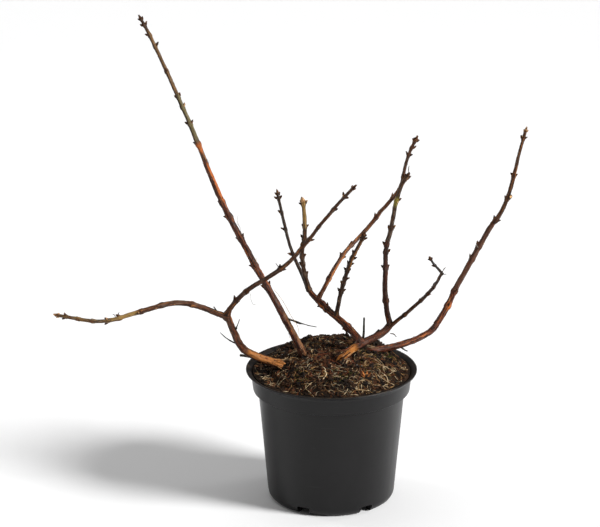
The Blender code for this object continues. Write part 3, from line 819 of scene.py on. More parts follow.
def add_strips(heaps):
    """The loose strips and prongs, each thickest at its middle."""
    kinds = {"pale": 0, "grey": 1, "dark": 2, "straw": 3}
    for finish, width, thick, points in STRIPS:
        places = smooth_line(points)
        count = len(places)
        swell = [math.sin(math.pi * (0.12 + 0.8 * index / count)) for index in range(count)]
        radii = [width / 2 * (0.55 + 0.45 * share) for share in swell]
        add_tube(heaps["strips"], places, radii, sides=6, finish=kinds[finish], flat=thick / width)


def compost_height(x, y):
    """The height of the compost's surface at a place, all in millimetres."""
    depth = MOUND_REACH[1] if y > MOUND_CENTRE[1] else MOUND_REACH[2]
    out = math.hypot((x - MOUND_CENTRE[0]) / MOUND_REACH[0], (y - MOUND_CENTRE[1]) / depth)
    mound = MOUND_HEIGHT * max(0.0, 1.0 - out**MOUND_POWER)
    edge = 1.0 - (math.hypot(x, y) / COMPOST_RADIUS) ** 4
    lump = noise.noise(Vector((x, y, 0.0)) / LUMP_SIZE) * LUMP_HEIGHT * 2 * max(0.0, edge)
    return COMPOST_LEVEL + mound * max(0.0, 1.0 - (math.hypot(x, y) / COMPOST_RADIUS) ** 16) + lump


def crumbly(x, y):
    """The bed's own surface: the compost's height with clods and crumbs pressed into it."""
    edge = max(0.0, 1.0 - (math.hypot(x, y) / COMPOST_RADIUS) ** 12)
    clod = noise.noise(Vector((x * 0.21, y * 0.21, 3.0)))
    crumb = noise.noise(Vector((x * 0.62, y * 0.62, 9.0)))
    grit = noise.noise(Vector((x * 1.5, y * 1.5, 5.0)))
    return compost_height(x, y) - 1.0 * edge + edge * (1.5 * abs(clod) + 1.0 * abs(crumb) + 0.5 * grit)


def compost_sides():
    """The filling below its surface, from under the lip to the middle of its foot."""
    slack = 0.45
    wall = WALL_TOP_RADIUS - WALL - slack
    return [
        (BAND_TOP_RADIUS - WALL - slack, POT_HEIGHT - 7.5),
        (BAND_FOOT_RADIUS - WALL - slack, BAND_FOOT + WALL + 1.5 + slack),
        (BAND_FOOT_RADIUS - WALL - 1.0 - slack, BAND_FOOT + WALL + 0.3 + slack),
        (wall + 0.4, BAND_FOOT + WALL + slack),
        (wall, BAND_FOOT + 0.2),
        (WALL_FOOT_RADIUS - WALL - slack, FLOOR_TOP + 4.0),
        (WALL_FOOT_RADIUS - 3.4 - slack, FLOOR_TOP + 1.4 + slack),
        (WALL_FOOT_RADIUS - 7.0, COMPOST_FOOT),
    ]


def make_bed(materials):
    """The filling as one closed skin: a crumbly top over plain sides inside the pot."""
    heap = Heap()
    rows = []
    for ring in range(1, BED_RINGS + 1):
        radius = (COMPOST_RADIUS + 0.7) * (ring / BED_RINGS) ** 0.9
        row = []
        for side in range(BED_SIDES):
            turn = math.tau * side / BED_SIDES
            x, y = radius * math.cos(turn), radius * math.sin(turn)
            row.append(Vector((x, y, crumbly(x, y))))
        rows.append(row)
    for radius, height in compost_sides():
        row = []
        for side in range(BED_SIDES):
            turn = math.tau * side / BED_SIDES
            row.append(Vector((radius * math.cos(turn), radius * math.sin(turn), height)))
        rows.append(row)
    rows.reverse()
    add_skin(heap, rows, [index * MM for index in range(len(rows))])
    return heap.make("compost_bed", materials, "compost", ("compost",))


def scatter(dice, reach=COMPOST_RADIUS):
    """A random place on the bed."""
    turn = dice.uniform(0, math.tau)
    radius = reach * math.sqrt(dice.random())
    return radius * math.cos(turn), radius * math.sin(turn)


def clod_shape():
    """A ball of 42 points and 80 faces that each clod is pressed out of."""
    ball = bmesh.new()
    bmesh.ops.create_icosphere(ball, subdivisions=2, radius=1.0)
    points = [vertex.co.copy() for vertex in ball.verts]
    faces = [tuple(vertex.index for vertex in face.verts) for face in ball.faces]
    ball.free()
    return points, faces


def add_clods(heap):
    """Dented clods all over the bed, the tallest along its far crest."""
    dice = random.Random(f"{SEED} clods")
    points, faces = clod_shape()
    along = [(0.5, 0.5)] * sum(len(face) for face in faces)
    for index in range(CLOD_COUNT):
        tall = 1.0
        x, y = scatter(dice, COMPOST_RADIUS - 2.5)
        if index % 6 == 0:
            turn = dice.uniform(0.12, 0.88) * math.pi
            reach = dice.uniform(48, 68)
            x, y = 6 + math.cos(turn) * reach * 0.95, 8 + math.sin(turn) * reach
            tall = 1.5
        size = dice.uniform(0.7, 1.9) if dice.random() < 0.8 else dice.uniform(1.8, 3.2)
        if index % 23 == 0:
            foot = dice.choice([limb.foot for limb in LIMBS if limb.foot][:4])
            x, y = foot[0] + dice.uniform(-8, 8), foot[1] + dice.uniform(-9, 3)
            size = dice.uniform(1.2, 2.4)
        if math.hypot(x, y) > COMPOST_RADIUS - 6:
            size = min(size, 1.5)
        shift = dice.uniform(0, 90)
        stretch = Vector((dice.uniform(0.7, 1.3), dice.uniform(0.7, 1.3), dice.uniform(0.5, 0.9)))
        size *= tall
        spot = Vector((x, y, crumbly(x, y) + size * dice.uniform(-0.15, 0.45)))
        shaped = []
        for point in points:
            dent = 1.0 + 1.05 * noise.noise(point * 1.6 + Vector((shift, 0.0, 0.0)))
            dent += 0.50 * noise.noise(point * 4.3 + Vector((0.0, shift, 0.0)))
            shaped.append(spot + Vector(point[i] * stretch[i] for i in range(3)) * size * dent)
        heap.add(shaped, faces, along, dice.choice((0, 0, 0, 1, 1, 2)))


def add_fibre(heap, dice, x, y, length, girth, finish, rise=0.8, curl=0.5):
    """One fibre lying on the bed: it bends as it goes and lifts off a little in the middle."""
    heading = dice.uniform(0, math.tau)
    steps = max(4, min(14, round(length / 1.6)))
    bend_rate = dice.uniform(-curl, curl)
    places = []
    lift = dice.uniform(0.1, rise)
    tip_lift = dice.uniform(-0.4, 1.6 * rise) if dice.random() < 0.3 else -0.2
    for step in range(steps + 1):
        t = step / steps
        if math.hypot(x, y) > COMPOST_RADIUS - 0.8:
            break
        height = crumbly(x, y) + girth * 0.3 + lift * math.sin(math.pi * t) * 1.3 + tip_lift * t * t
        places.append(Vector((x, y, height)))
        heading += bend_rate + dice.uniform(-0.16, 0.16)
        x += math.cos(heading) * length / steps
        y += math.sin(heading) * length / steps
    if len(places) > 3:
        count = len(places)
        smooth = [places[0]]
        smooth += [(places[i - 1] + places[i] * 2 + places[i + 1]) / 4 for i in range(1, count - 1)]
        smooth.append(places[-1])
        swell = [math.sin(math.pi * (0.15 + 0.75 * index / count)) for index in range(count)]
        radii = [girth / 2 * (0.5 + 0.5 * share) for share in swell]
        add_tube(heap, smooth, radii, sides=5, finish=finish, flat=dice.uniform(0.5, 1.0))


def add_fibres(peat, straw, roots):
    """Peat fibres everywhere, straw in two pale drifts, and red roots near the middle."""
    dice = random.Random(f"{SEED} fibres")
    for _ in range(PEAT_COUNT):
        x, y = scatter(dice)
        length, girth = dice.uniform(3.0, 10.0), dice.uniform(0.3, 0.75)
        add_fibre(peat, dice, x, y, length, girth, dice.choice((0, 0, 1, 1, 2)), 1.1)
    for _ in range(STRAW_COUNT):
        x, y = scatter(dice)
        length, girth = dice.uniform(5.0, 19.0), dice.uniform(0.3, 0.8)
        add_fibre(straw, dice, x, y, length, girth, dice.choice((0, 1, 1, 2)), 1.2, 0.3)
    for index in range(PALE_COUNT):
        side = 1 if index % 3 == 0 else -1
        x = dice.gauss(50.0, 14.0) if side > 0 else dice.gauss(-36.0, 20.0)
        y = dice.gauss(-34.0, 18.0) if side > 0 else dice.gauss(-14.0, 24.0)
        length, girth = dice.uniform(8.0, 20.0), dice.uniform(0.35, 0.65)
        add_fibre(straw, dice, x, y, length, girth, dice.choice((0, 1, 2)), 2.0, 0.22)
    for _ in range(ROOT_COUNT):
        x = dice.gauss(2.0, 24.0)
        y = dice.gauss(-16.0, 14.0)
        length, girth = dice.uniform(12.0, 34.0), dice.uniform(0.4, 0.9)
        add_fibre(roots, dice, x, y, length, girth, dice.choice((0, 0, 1)), 0.7, 0.16)


def add_chips(heap):
    """Flat shreds of bark and leaf litter on the bed."""
    dice = random.Random(f"{SEED} chips")
    for _ in range(CHIP_COUNT):
        x, y = scatter(dice, COMPOST_RADIUS - 4)
        heading = dice.uniform(0, math.tau)
        way = Vector((math.cos(heading), math.sin(heading), dice.uniform(-0.1, 0.4))).normalized()
        out = Vector((dice.uniform(-0.5, 0.5), dice.uniform(-0.5, 0.5), 1.0)).normalized()
        out = (out - way * out.dot(way)).normalized()
        size = dice.uniform(2.0, 6.0)
        root = Vector((x, y, crumbly(x, y) + 0.3))
        add_flake(heap, root, way, out, size, size * dice.uniform(0.2, 0.55), size * dice.uniform(0.0, 0.35),
                  dice.choice((0, 0, 1, 2)))


def add_moss(heap):
    """Tufts of moss in a few patches: short pointed leaves that lean out of one foot."""
    dice = random.Random(f"{SEED} moss")
    for index in range(MOSS_TUFTS):
        cx, cy, reach = MOSS_PATCHES[index % len(MOSS_PATCHES)]
        x, y = dice.gauss(cx, reach * 0.55), dice.gauss(cy, reach * 0.55)
        if math.hypot(x, y) > COMPOST_RADIUS - 4:
            continue
        foot = Vector((x, y, crumbly(x, y)))
        for _ in range(8):
            heading = dice.uniform(0, math.tau)
            way = direction(math.degrees(heading), dice.uniform(15, 75))
            out = way.orthogonal().normalized()
            length = dice.uniform(1.0, 2.6)
            add_flake(heap, foot, way, out, length, 0.42, length * 0.25, dice.choice((0, 0, 1)))


def add_special(straw, roots, chips):
    """The pieces that show one by one: bent pale straws, red roots, a curl of bark and white grit."""
    pale = (
        ((-47, 8, 0.8), (-40, 5, 1.6), (-33, 6, 1.4), (-27, 3, 0.9)),
        ((-20, 10, 1.0), (-22, 2, 2.0), (-21, -5, 1.2)),
        ((-39, 18, 1.2), (-34, 10, 2.0), (-30, 2, 1.0)),
        ((-60, -28, 1.0), (-55, -24, 1.6), (-48, -30, 0.8)),
        ((50, -40, 1.0), (60, -46, 1.8), (68, -48, 1.0)),
        ((55, -32, 1.0), (60, -38, 2.2), (62, -46, 1.5)),
        ((-10, -60, 1.0), (-6, -50, 1.8), (-8, -44, 1.2)),
        ((20, -70, 0.8), (30, -72, 1.2), (40, -70, 0.8)),
    )
    for points in pale:
        places = smooth_line([(x, y, crumbly(x, y) + lift) for x, y, lift in points])
        add_tube(straw, places, [0.5] * len(places), sides=6, finish=0, flat=0.6)
    red = (
        ((-30, -12, 0.6), (-14, -8, 1.0), (2, -12, 1.1), (14, -20, 0.8), (24, -24, 0.5)),
        ((-28, -16, 0.6), (-10, -14, 1.2), (6, -18, 0.8), (16, -28, 0.8)),
        ((-16, -4, 0.6), (0, -4, 1.0), (12, -12, 0.9), (22, -14, 0.5)),
        ((-34, -6, 0.7), (-20, -12, 0.9), (-2, -22, 0.9), (12, -32, 0.5)),
    )
    for points in red:
        places = smooth_line([(x, y, crumbly(x, y) + lift) for x, y, lift in points])
        add_tube(roots, places, [0.55] * len(places), sides=6, finish=0)
    dice = random.Random(f"{SEED} curl")
    for turn, size in ((0.4, 8.0), (1.5, 7.0), (2.4, 6.5), (3.3, 6.0)):
        way = Vector((math.cos(turn), math.sin(turn), 0.45)).normalized()
        out = Vector((-0.3 * math.cos(turn), -0.3 * math.sin(turn), 1.0))
        out = (out - way * out.dot(way)).normalized()
        root = Vector((37 + dice.uniform(-2, 2), -50 + dice.uniform(-2, 2), 0.0))
        root.z = crumbly(root.x, root.y) + 0.4
        add_flake(chips, root, way, out, size, 2.6, 3.2, 3)
    points, faces = clod_shape()
    along = [(0.5, 0.5)] * sum(len(face) for face in faces)
    for _ in range(26):
        x, y = scatter(dice, COMPOST_RADIUS - 6)
        size = dice.uniform(0.35, 0.8)
        spot = Vector((x, y, crumbly(x, y) + 0.5))
        shaped = [spot + point * size * (1 + 0.3 * noise.noise(point * 2 + spot)) for point in points]
        chips.add(shaped, faces, along, 4)


def arc(centre, radius, start, end, count):
    """Points of an arc in the outline's plane, from one angle to another."""
    angles = [math.radians(start + (end - start) * step / count) for step in range(count + 1)]
    return [(centre[0] + radius * math.cos(a), centre[1] + radius * math.sin(a)) for a in angles]


def pot_outline():
    """From the middle of the floor up the inside, over the lip, down the outside to the pad."""
    lip_top = POT_HEIGHT
    inside = [
        (0.0, FLOOR_TOP),
        (WALL_FOOT_RADIUS - 6.5, FLOOR_TOP),
        (WALL_FOOT_RADIUS - 3.2, FLOOR_TOP + 1.2),
        (WALL_FOOT_RADIUS - WALL, FLOOR_TOP + 4.0),
        (WALL_TOP_RADIUS - WALL, BAND_FOOT + 0.2),
        (WALL_TOP_RADIUS - WALL + 0.8, BAND_FOOT + WALL),
        (BAND_FOOT_RADIUS - WALL - 1.0, BAND_FOOT + WALL + 0.3),
        (BAND_FOOT_RADIUS - WALL, BAND_FOOT + WALL + 1.5),
        (BAND_TOP_RADIUS - WALL, lip_top - 7.5),
        (BAND_TOP_RADIUS - WALL + 0.25, lip_top - 5.6),
        (BAND_TOP_RADIUS - WALL + 0.9, lip_top - 3.9),
        (BAND_TOP_RADIUS + 0.5, lip_top - 2.4),
        (BAND_TOP_RADIUS + 2.4, lip_top - 1.2),
        (LIP_RADIUS - 2.2, lip_top - 0.35),
    ]
    edge = arc((LIP_RADIUS - 0.85, lip_top - 0.85), 0.85, 100.0, -60.0, 8)
    outside = [
        (LIP_RADIUS - 1.4, lip_top - 0.9 - LIP_EDGE),
        (BAND_TOP_RADIUS + 3.2, lip_top - 3.2),
        (BAND_TOP_RADIUS + 1.7, lip_top - 4.2),
        (BAND_TOP_RADIUS + 0.6, lip_top - 5.6),
        (BAND_TOP_RADIUS + 0.05, lip_top - 7.8),
        (BAND_FOOT_RADIUS, BAND_FOOT + 2.0),
        (BAND_FOOT_RADIUS - 0.4, BAND_FOOT + 0.9),
        (BAND_FOOT_RADIUS - 1.4, BAND_FOOT + 0.2),
        (WALL_TOP_RADIUS + 1.2, BAND_FOOT),
        (WALL_TOP_RADIUS + 0.3, BAND_FOOT - 0.4),
        (WALL_TOP_RADIUS, BAND_FOOT - 1.4),
    ]
    reach = WALL_FOOT_RADIUS - FOOT_RADIUS
    corner = [(radius, CORNER_HEIGHT + height * CORNER_HEIGHT / reach)
              for radius, height in arc((FOOT_RADIUS, 0.0), reach, 0.0, -90.0, 10)]
    underside = [
        (FOOT_INNER_RADIUS, 0.0),
        (FOOT_INNER_RADIUS - 1.0, 1.0),
        (FOOT_INNER_RADIUS - 1.6, FLOOR_UNDERSIDE - 0.8),
        (FOOT_INNER_RADIUS - 2.6, FLOOR_UNDERSIDE),
        (PAD_RADIUS + 2.4, FLOOR_UNDERSIDE),
        (PAD_RADIUS + 1.4, FLOOR_UNDERSIDE - 0.8),
        (PAD_RADIUS, 0.0),
        (0.0, 0.0),
    ]
    return inside + edge + outside + corner + underside


def add_cutter(name, mesh, centre, turn):
    """A cutter at a distance from the pot's axis, turned about it."""
    item = bpy.data.objects.new(name, mesh)
    bpy.context.scene.collection.objects.link(item)
    angle = math.radians(turn)
    item.location = (centre[0] * math.cos(angle) * MM, centre[0] * math.sin(angle) * MM, centre[1] * MM)
    item.rotation_euler = (0.0, 0.0, angle)
    return item


def block(name, size, round_edge=0.0):
    """A box whose edges along X may be rounded."""
    shape = bmesh.new()
    bmesh.ops.create_cube(shape, size=1.0)
    for vertex in shape.verts:
        vertex.co = Vector(side * extent * MM for side, extent in zip(vertex.co, size))
    if round_edge:
        edges = [edge for edge in shape.edges if abs(edge.verts[0].co.x - edge.verts[1].co.x) > MM]
        bmesh.ops.bevel(shape, geom=edges, offset=round_edge * MM, segments=5, affect="EDGES", profile=0.5)
    mesh = bpy.data.meshes.new(name)
    shape.to_mesh(mesh)
    shape.free()
    return mesh


def cut_by(item, cutter):
    """Cuts the cutter's shape out of the item, and removes the cutter."""
    cut = item.modifiers.new("cut", "BOOLEAN")
    cut.operation = "DIFFERENCE"
    cut.object = cutter
    graph = bpy.context.evaluated_depsgraph_get()
    item.data = bpy.data.meshes.new_from_object(item.evaluated_get(graph))
    item.modifiers.clear()
    bpy.data.objects.remove(cutter, do_unlink=True)


def make_pot(material):
    """The pot's outline turned about its axis, with its notches, dimples and drain holes cut."""
    mesh = bpy.data.meshes.new("nursery_pot")
    corners = [(radius * MM, 0.0, height * MM) for radius, height in pot_outline()]
    mesh.from_pydata(corners, [(index, index + 1) for index in range(len(corners) - 1)], [])
    item = place("nursery_pot", mesh, "pot_plastic", ("pot",))
    spin = item.modifiers.new("spin", "SCREW")
    spin.steps = POT_SIDES
    spin.render_steps = POT_SIDES
    spin.use_merge_vertices = True
    spin.merge_threshold = 0.00001
    graph = bpy.context.evaluated_depsgraph_get()
    item.data = bpy.data.meshes.new_from_object(item.evaluated_get(graph))
    item.modifiers.clear()
    close_mesh(item)
    spacing = 360.0 / NOTCH_COUNT
    ring_middle = (FOOT_INNER_RADIUS + WALL_FOOT_RADIUS) / 2
    for index in range(NOTCH_COUNT):
        turn = FIRST_NOTCH + index * spacing
        notch = block("notch", (22.0, NOTCH_WIDTH, NOTCH_HEIGHT * 2), 1.6)
        cut_by(item, add_cutter("notch", notch, (ring_middle + 2.0, 0.0), turn))
        dimple = block("dimple", (24.0, DIMPLE_WIDTH, DIMPLE_HEIGHT * 2))
        cut_by(item, add_cutter("dimple", dimple, (ring_middle + 2.0, 0.0), turn + spacing / 2))
        drain = bmesh.new()
        bmesh.ops.create_cone(drain, cap_ends=True, segments=32, radius1=DRAIN_RADIUS * MM,
                              radius2=DRAIN_RADIUS * MM, depth=8.0 * MM)
        hole = bpy.data.meshes.new("drain")
        drain.to_mesh(hole)
        drain.free()
        cut_by(item, add_cutter("drain", hole, (DRAIN_CIRCLE, FLOOR_TOP), turn))
    item.data.materials.clear()
    item.data.materials.append(material)
    item.data.shade_smooth()
    item.data.set_sharp_from_angle(angle=math.radians(35.0))
    return item


def close_mesh(item):
    """Joins doubled points and turns every face outwards."""
    shape = bmesh.new()
    shape.from_mesh(item.data)
    bmesh.ops.remove_doubles(shape, verts=shape.verts, dist=1e-6)
    bmesh.ops.recalc_face_normals(shape, faces=shape.faces)
    shape.to_mesh(item.data)
    shape.free()


class Nodes:
    """Short calls for building a tree of shader nodes."""

    def __init__(self, tree):
        self.tree = tree

    def add(self, kind, **settings):
        node = self.tree.nodes.new("ShaderNode" + kind)
        for name, value in settings.items():
            setattr(node, name, value)
        return node

    def link(self, source, target):
        self.tree.links.new(source, target)

    def put(self, socket, value):
        """Links a socket to another, or sets a plain value on it."""
        if isinstance(value, bpy.types.NodeSocket):
            self.link(value, socket)
        elif isinstance(value, tuple) and len(value) == 3 and socket.type == "RGBA":
            socket.default_value = (*value, 1.0)
        else:
            socket.default_value = value

    def math(self, operation, first, second=0.0, third=0.0):
        node = self.add("Math", operation=operation)
        for socket, value in zip(node.inputs, (first, second, third)):
            self.put(socket, value)
        return node.outputs[0]

    def noise(self, vector, scale, detail=4.0, roughness=0.55, distortion=0.0):
        node = self.add("TexNoise")
        self.put(node.inputs["Vector"], vector)
        self.put(node.inputs["Scale"], scale)
        node.inputs["Detail"].default_value = detail
        node.inputs["Roughness"].default_value = roughness
        node.inputs["Distortion"].default_value = distortion
        return node.outputs["Fac"]

    def step(self, value, low, high):
        """A soft step: 0 below low and 1 above high."""
        node = self.add("MapRange", interpolation_type="SMOOTHSTEP")
        self.put(node.inputs["Value"], value)
        self.put(node.inputs["From Min"], low)
        self.put(node.inputs["From Max"], high)
        return node.outputs["Result"]

    def mix(self, factor, first, second, blend="MIX"):
        node = self.add("Mix", data_type="RGBA", blend_type=blend)
        self.put(node.inputs[0], factor)
        self.put(node.inputs[6], first)
        self.put(node.inputs[7], second)
        return node.outputs[2]

    def group(self, tree, **values):
        node = self.add("Group", node_tree=tree)
        for name, value in values.items():
            self.put(node.inputs[name.replace("_", " ")], value)
        return node


def make_group(name, inputs, outputs):
    """An empty node group with its named sockets."""
    tree = bpy.data.node_groups.new(name, "ShaderNodeTree")
    for label, kind, value in inputs:
        socket = tree.interface.new_socket(label, in_out="INPUT", socket_type="NodeSocket" + kind)
        if value is not None:
            socket.default_value = value
    for label, kind in outputs:
        tree.interface.new_socket(label, in_out="OUTPUT", socket_type="NodeSocket" + kind)
    nodes = Nodes(tree)
    given = tree.nodes.new("NodeGroupInput").outputs
    return tree, nodes, given, tree.nodes.new("NodeGroupOutput").inputs


def limb_grain_group():
    """Turns a limb's own map, turns round it and metres along it, into fibres, patches and layers."""
    tree, nodes, given, out = make_group(
        "limb grain",
        [("Along", "Vector", None), ("Girth", "Float", 3.0), ("Seed", "Float", 0.0)],
        [(label, "Float") for label in ("Fibre", "Patch", "Layer", "Speck", "Wrinkle")])
    split = nodes.add("SeparateXYZ")
    nodes.link(given["Along"], split.inputs[0])
    turn = nodes.math("MULTIPLY", split.outputs[0], math.tau)
    x = nodes.math("MULTIPLY", nodes.math("COSINE", turn), given["Girth"])
    y = nodes.math("MULTIPLY", nodes.math("SINE", turn), given["Girth"])
    run = nodes.math("MULTIPLY_ADD", split.outputs[1], 1000.0, given["Seed"])
    places = []
    for stretch in (0.06, 0.30, 1.6):
        spot = nodes.add("CombineXYZ")
        nodes.link(x, spot.inputs[0])
        nodes.link(y, spot.inputs[1])
        nodes.link(nodes.math("MULTIPLY", run, stretch), spot.inputs[2])
        places.append(spot.outputs[0])
    streak = nodes.noise(places[0], 1.1, 4.0, 0.6, 0.5)
    strand = nodes.noise(places[0], 2.8, 6.0, 0.65, 0.3)
    nodes.link(nodes.math("MULTIPLY_ADD", streak, 0.55, nodes.math("MULTIPLY", strand, 0.45)), out["Fibre"])
    nodes.link(nodes.noise(places[0], 0.55, 3.0, 0.5, 0.6), out["Patch"])
    nodes.link(nodes.noise(places[1], 0.42, 5.0, 0.6, 0.8), out["Layer"])
    nodes.link(nodes.noise(places[1], 5.5, 3.0, 0.6), out["Speck"])
    nodes.link(nodes.noise(places[2], 0.9, 3.0, 0.6), out["Wrinkle"])
    return tree


def stretch_group():
    """A mask for a stretch of a limb, between two runs along it in millimetres, with ragged ends."""
    tree, nodes, given, out = make_group(
        "stretch of limb",
        [("Along", "Vector", None), ("Ragged", "Float", 0.5), ("Start", "Float", 0.0),
         ("End", "Float", 10.0), ("Soft", "Float", 5.0), ("Side", "Float", 0.0), ("Width", "Float", 1.0)],
        [("Mask", "Float")])
    split = nodes.add("SeparateXYZ")
    nodes.link(given["Along"], split.inputs[0])
    shake = nodes.math("MULTIPLY", nodes.math("SUBTRACT", given["Ragged"], 0.5), 26.0)
    run = nodes.math("MULTIPLY_ADD", split.outputs[1], 1000.0, shake)
    rise = nodes.step(run, nodes.math("SUBTRACT", given["Start"], given["Soft"]), given["Start"])
    fall = nodes.step(run, given["End"], nodes.math("ADD", given["End"], given["Soft"]))
    within = nodes.math("MULTIPLY", rise, nodes.math("SUBTRACT", 1.0, fall))
    # Only the face around Side gets the mask; for the bark stretches this is the lit front-right face, so
    # there the mask is partly painted light
    away = nodes.math("SUBTRACT", split.outputs[0], given["Side"])
    facing = nodes.math("COSINE", nodes.math("MULTIPLY", away, math.tau))
    limit = nodes.math("SUBTRACT", 1.0, nodes.math("MULTIPLY", given["Width"], 2.0))
    near = nodes.step(facing, nodes.math("SUBTRACT", limit, 0.35), nodes.math("ADD", limit, 0.15))
    nodes.link(nodes.math("MULTIPLY", within, near), out["Mask"])
    return tree


def dust_group():
    """Dust that lies where a surface faces up, broken by noise."""
    tree, nodes, given, out = make_group(
        "settled dust",
        [("Scale", "Float", 60.0), ("Amount", "Float", 0.5)],
        [("Mask", "Float")])
    spot = nodes.add("TexCoord")
    shape = nodes.add("NewGeometry")
    split = nodes.add("SeparateXYZ")
    nodes.link(shape.outputs["Normal"], split.inputs[0])
    up = nodes.step(split.outputs[2], 0.15, 0.95)
    cloud = nodes.step(nodes.noise(spot.outputs["Object"], given["Scale"], 5.0, 0.65), 0.42, 0.68)
    nodes.link(nodes.math("MULTIPLY", nodes.math("MULTIPLY", up, cloud), given["Amount"]), out["Mask"])
    return tree


def mottle_group():
    """Two sizes of blotch and a fine grain, from the object's own place."""
    tree, nodes, given, out = make_group(
        "mottle",
        [("Coarse", "Float", 90.0), ("Fine", "Float", 700.0)],
        [("Blotch", "Float"), ("Grain", "Float"), ("Height", "Float")])
    spot = nodes.add("TexCoord").outputs["Object"]
    blotch = nodes.noise(spot, given["Coarse"], 4.0, 0.6, 0.5)
    grain = nodes.noise(spot, given["Fine"], 4.0, 0.65)
    nodes.link(blotch, out["Blotch"])
    nodes.link(grain, out["Grain"])
    nodes.link(nodes.math("MULTIPLY_ADD", grain, 0.6, nodes.math("MULTIPLY", blotch, 0.4)), out["Height"])
    return tree


def start_material(name):
    """A new material with its tree and its shader."""
    material = bpy.data.materials.new(name)
    material.use_nodes = True
    tree = material.node_tree
    shader = tree.nodes["Principled BSDF"]
    return material, Nodes(tree), shader


def bump(nodes, shader, height, strength, distance):
    """Lets a height raise the shader's surface."""
    node = nodes.add("Bump")
    node.inputs["Strength"].default_value = strength
    node.inputs["Distance"].default_value = distance
    nodes.link(height, node.inputs["Height"])
    nodes.link(node.outputs["Normal"], shader.inputs["Normal"])


# Each bark: its dark, middle and light colours, how much of it is light, how much grey film lies on
# it, and any stretches of another colour: start and end along the limb, side, width and colour.
# The dark colour also serves as painted shade in the grooves, and darker still along the outline.
# The stretches keep each tint, by their side and width, to the front-right face that the key light falls on:
# the tint is the bark's own, and its place on the lit face is painted light
ORANGE = (178, 93, 30)
OLIVE_GREY = (105, 93, 59)
BARKS = {
    "red_brown": ((33, 13, 6), (99, 45, 21), (177, 99, 45), 0.34, 0.05, ()),
    "tall": ((31, 13, 7), (95, 45, 22), (180, 100, 46), 0.32, 0.06, (
        (196, 236, 0.22, 0.20, ORANGE), (0, 50, 0.22, 0.14, (124, 82, 45)))),
    "tall_top": ((25, 14, 7), (81, 46, 22), (153, 100, 50), 0.30, 0.08, (
        (268, 320, 0.16, 0.34, OLIVE_GREY), (256, 260, 0.10, 0.5, ORANGE),
        (330, 396, 0.16, 0.22, (114, 82, 45)))),
    "left": ((29, 13, 6), (93, 46, 21), (171, 104, 50), 0.36, 0.05, (
        (0, 42, 0.15, 0.28, (167, 106, 51)),)),
    "tan": ((31, 17, 8), (91, 50, 24), (165, 104, 51), 0.36, 0.07, (
        (112, 138, 0.16, 0.30, (153, 121, 67)),)),
    "olive": ((35, 23, 11), (95, 67, 32), (159, 121, 66), 0.40, 0.10, ()),
    "brown": ((29, 16, 9), (89, 50, 24), (167, 104, 51), 0.34, 0.08, ()),
    "dark_red": ((23, 10, 6), (74, 34, 17), (146, 80, 38), 0.26, 0.05, ()),
    "dark": ((17, 11, 7), (52, 32, 18), (114, 76, 42), 0.24, 0.08, ()),
    "centre": ((27, 16, 9), (80, 48, 25), (151, 102, 53), 0.30, 0.10, (
        (94, 122, 0.16, 0.50, (153, 119, 64)),)),
    "arching": ((33, 16, 7), (103, 54, 25), (180, 110, 51), 0.38, 0.06, (
        (22, 60, 0.20, 0.24, (165, 97, 40)), (190, 206, 0.20, 0.30, (200, 113, 46)))),
    "budded": ((23, 14, 8), (70, 42, 23), (136, 89, 46), 0.26, 0.06, (
        (66, 106, 0.20, 0.26, (155, 102, 48)),)),
    "upright": ((29, 18, 11), (81, 52, 30), (144, 102, 58), 0.30, 0.14, (
        (226, 231, 0.10, 0.7, (146, 132, 45)),)),
    "outer": ((35, 14, 7), (109, 50, 25), (173, 97, 48), 0.32, 0.06, (
        (134, 215, 0.10, 0.9, (89, 56, 40)), (111, 113, 0.10, 0.25, (190, 102, 40)))),
    "crown": ((29, 13, 7), (89, 43, 21), (159, 93, 43), 0.32, 0.04, (
        (-10, 20, 0.10, 0.60, (171, 106, 42)),)),
    "dead": ((14, 11, 9), (41, 34, 26), (89, 76, 56), 0.25, 0.16, ()),
}


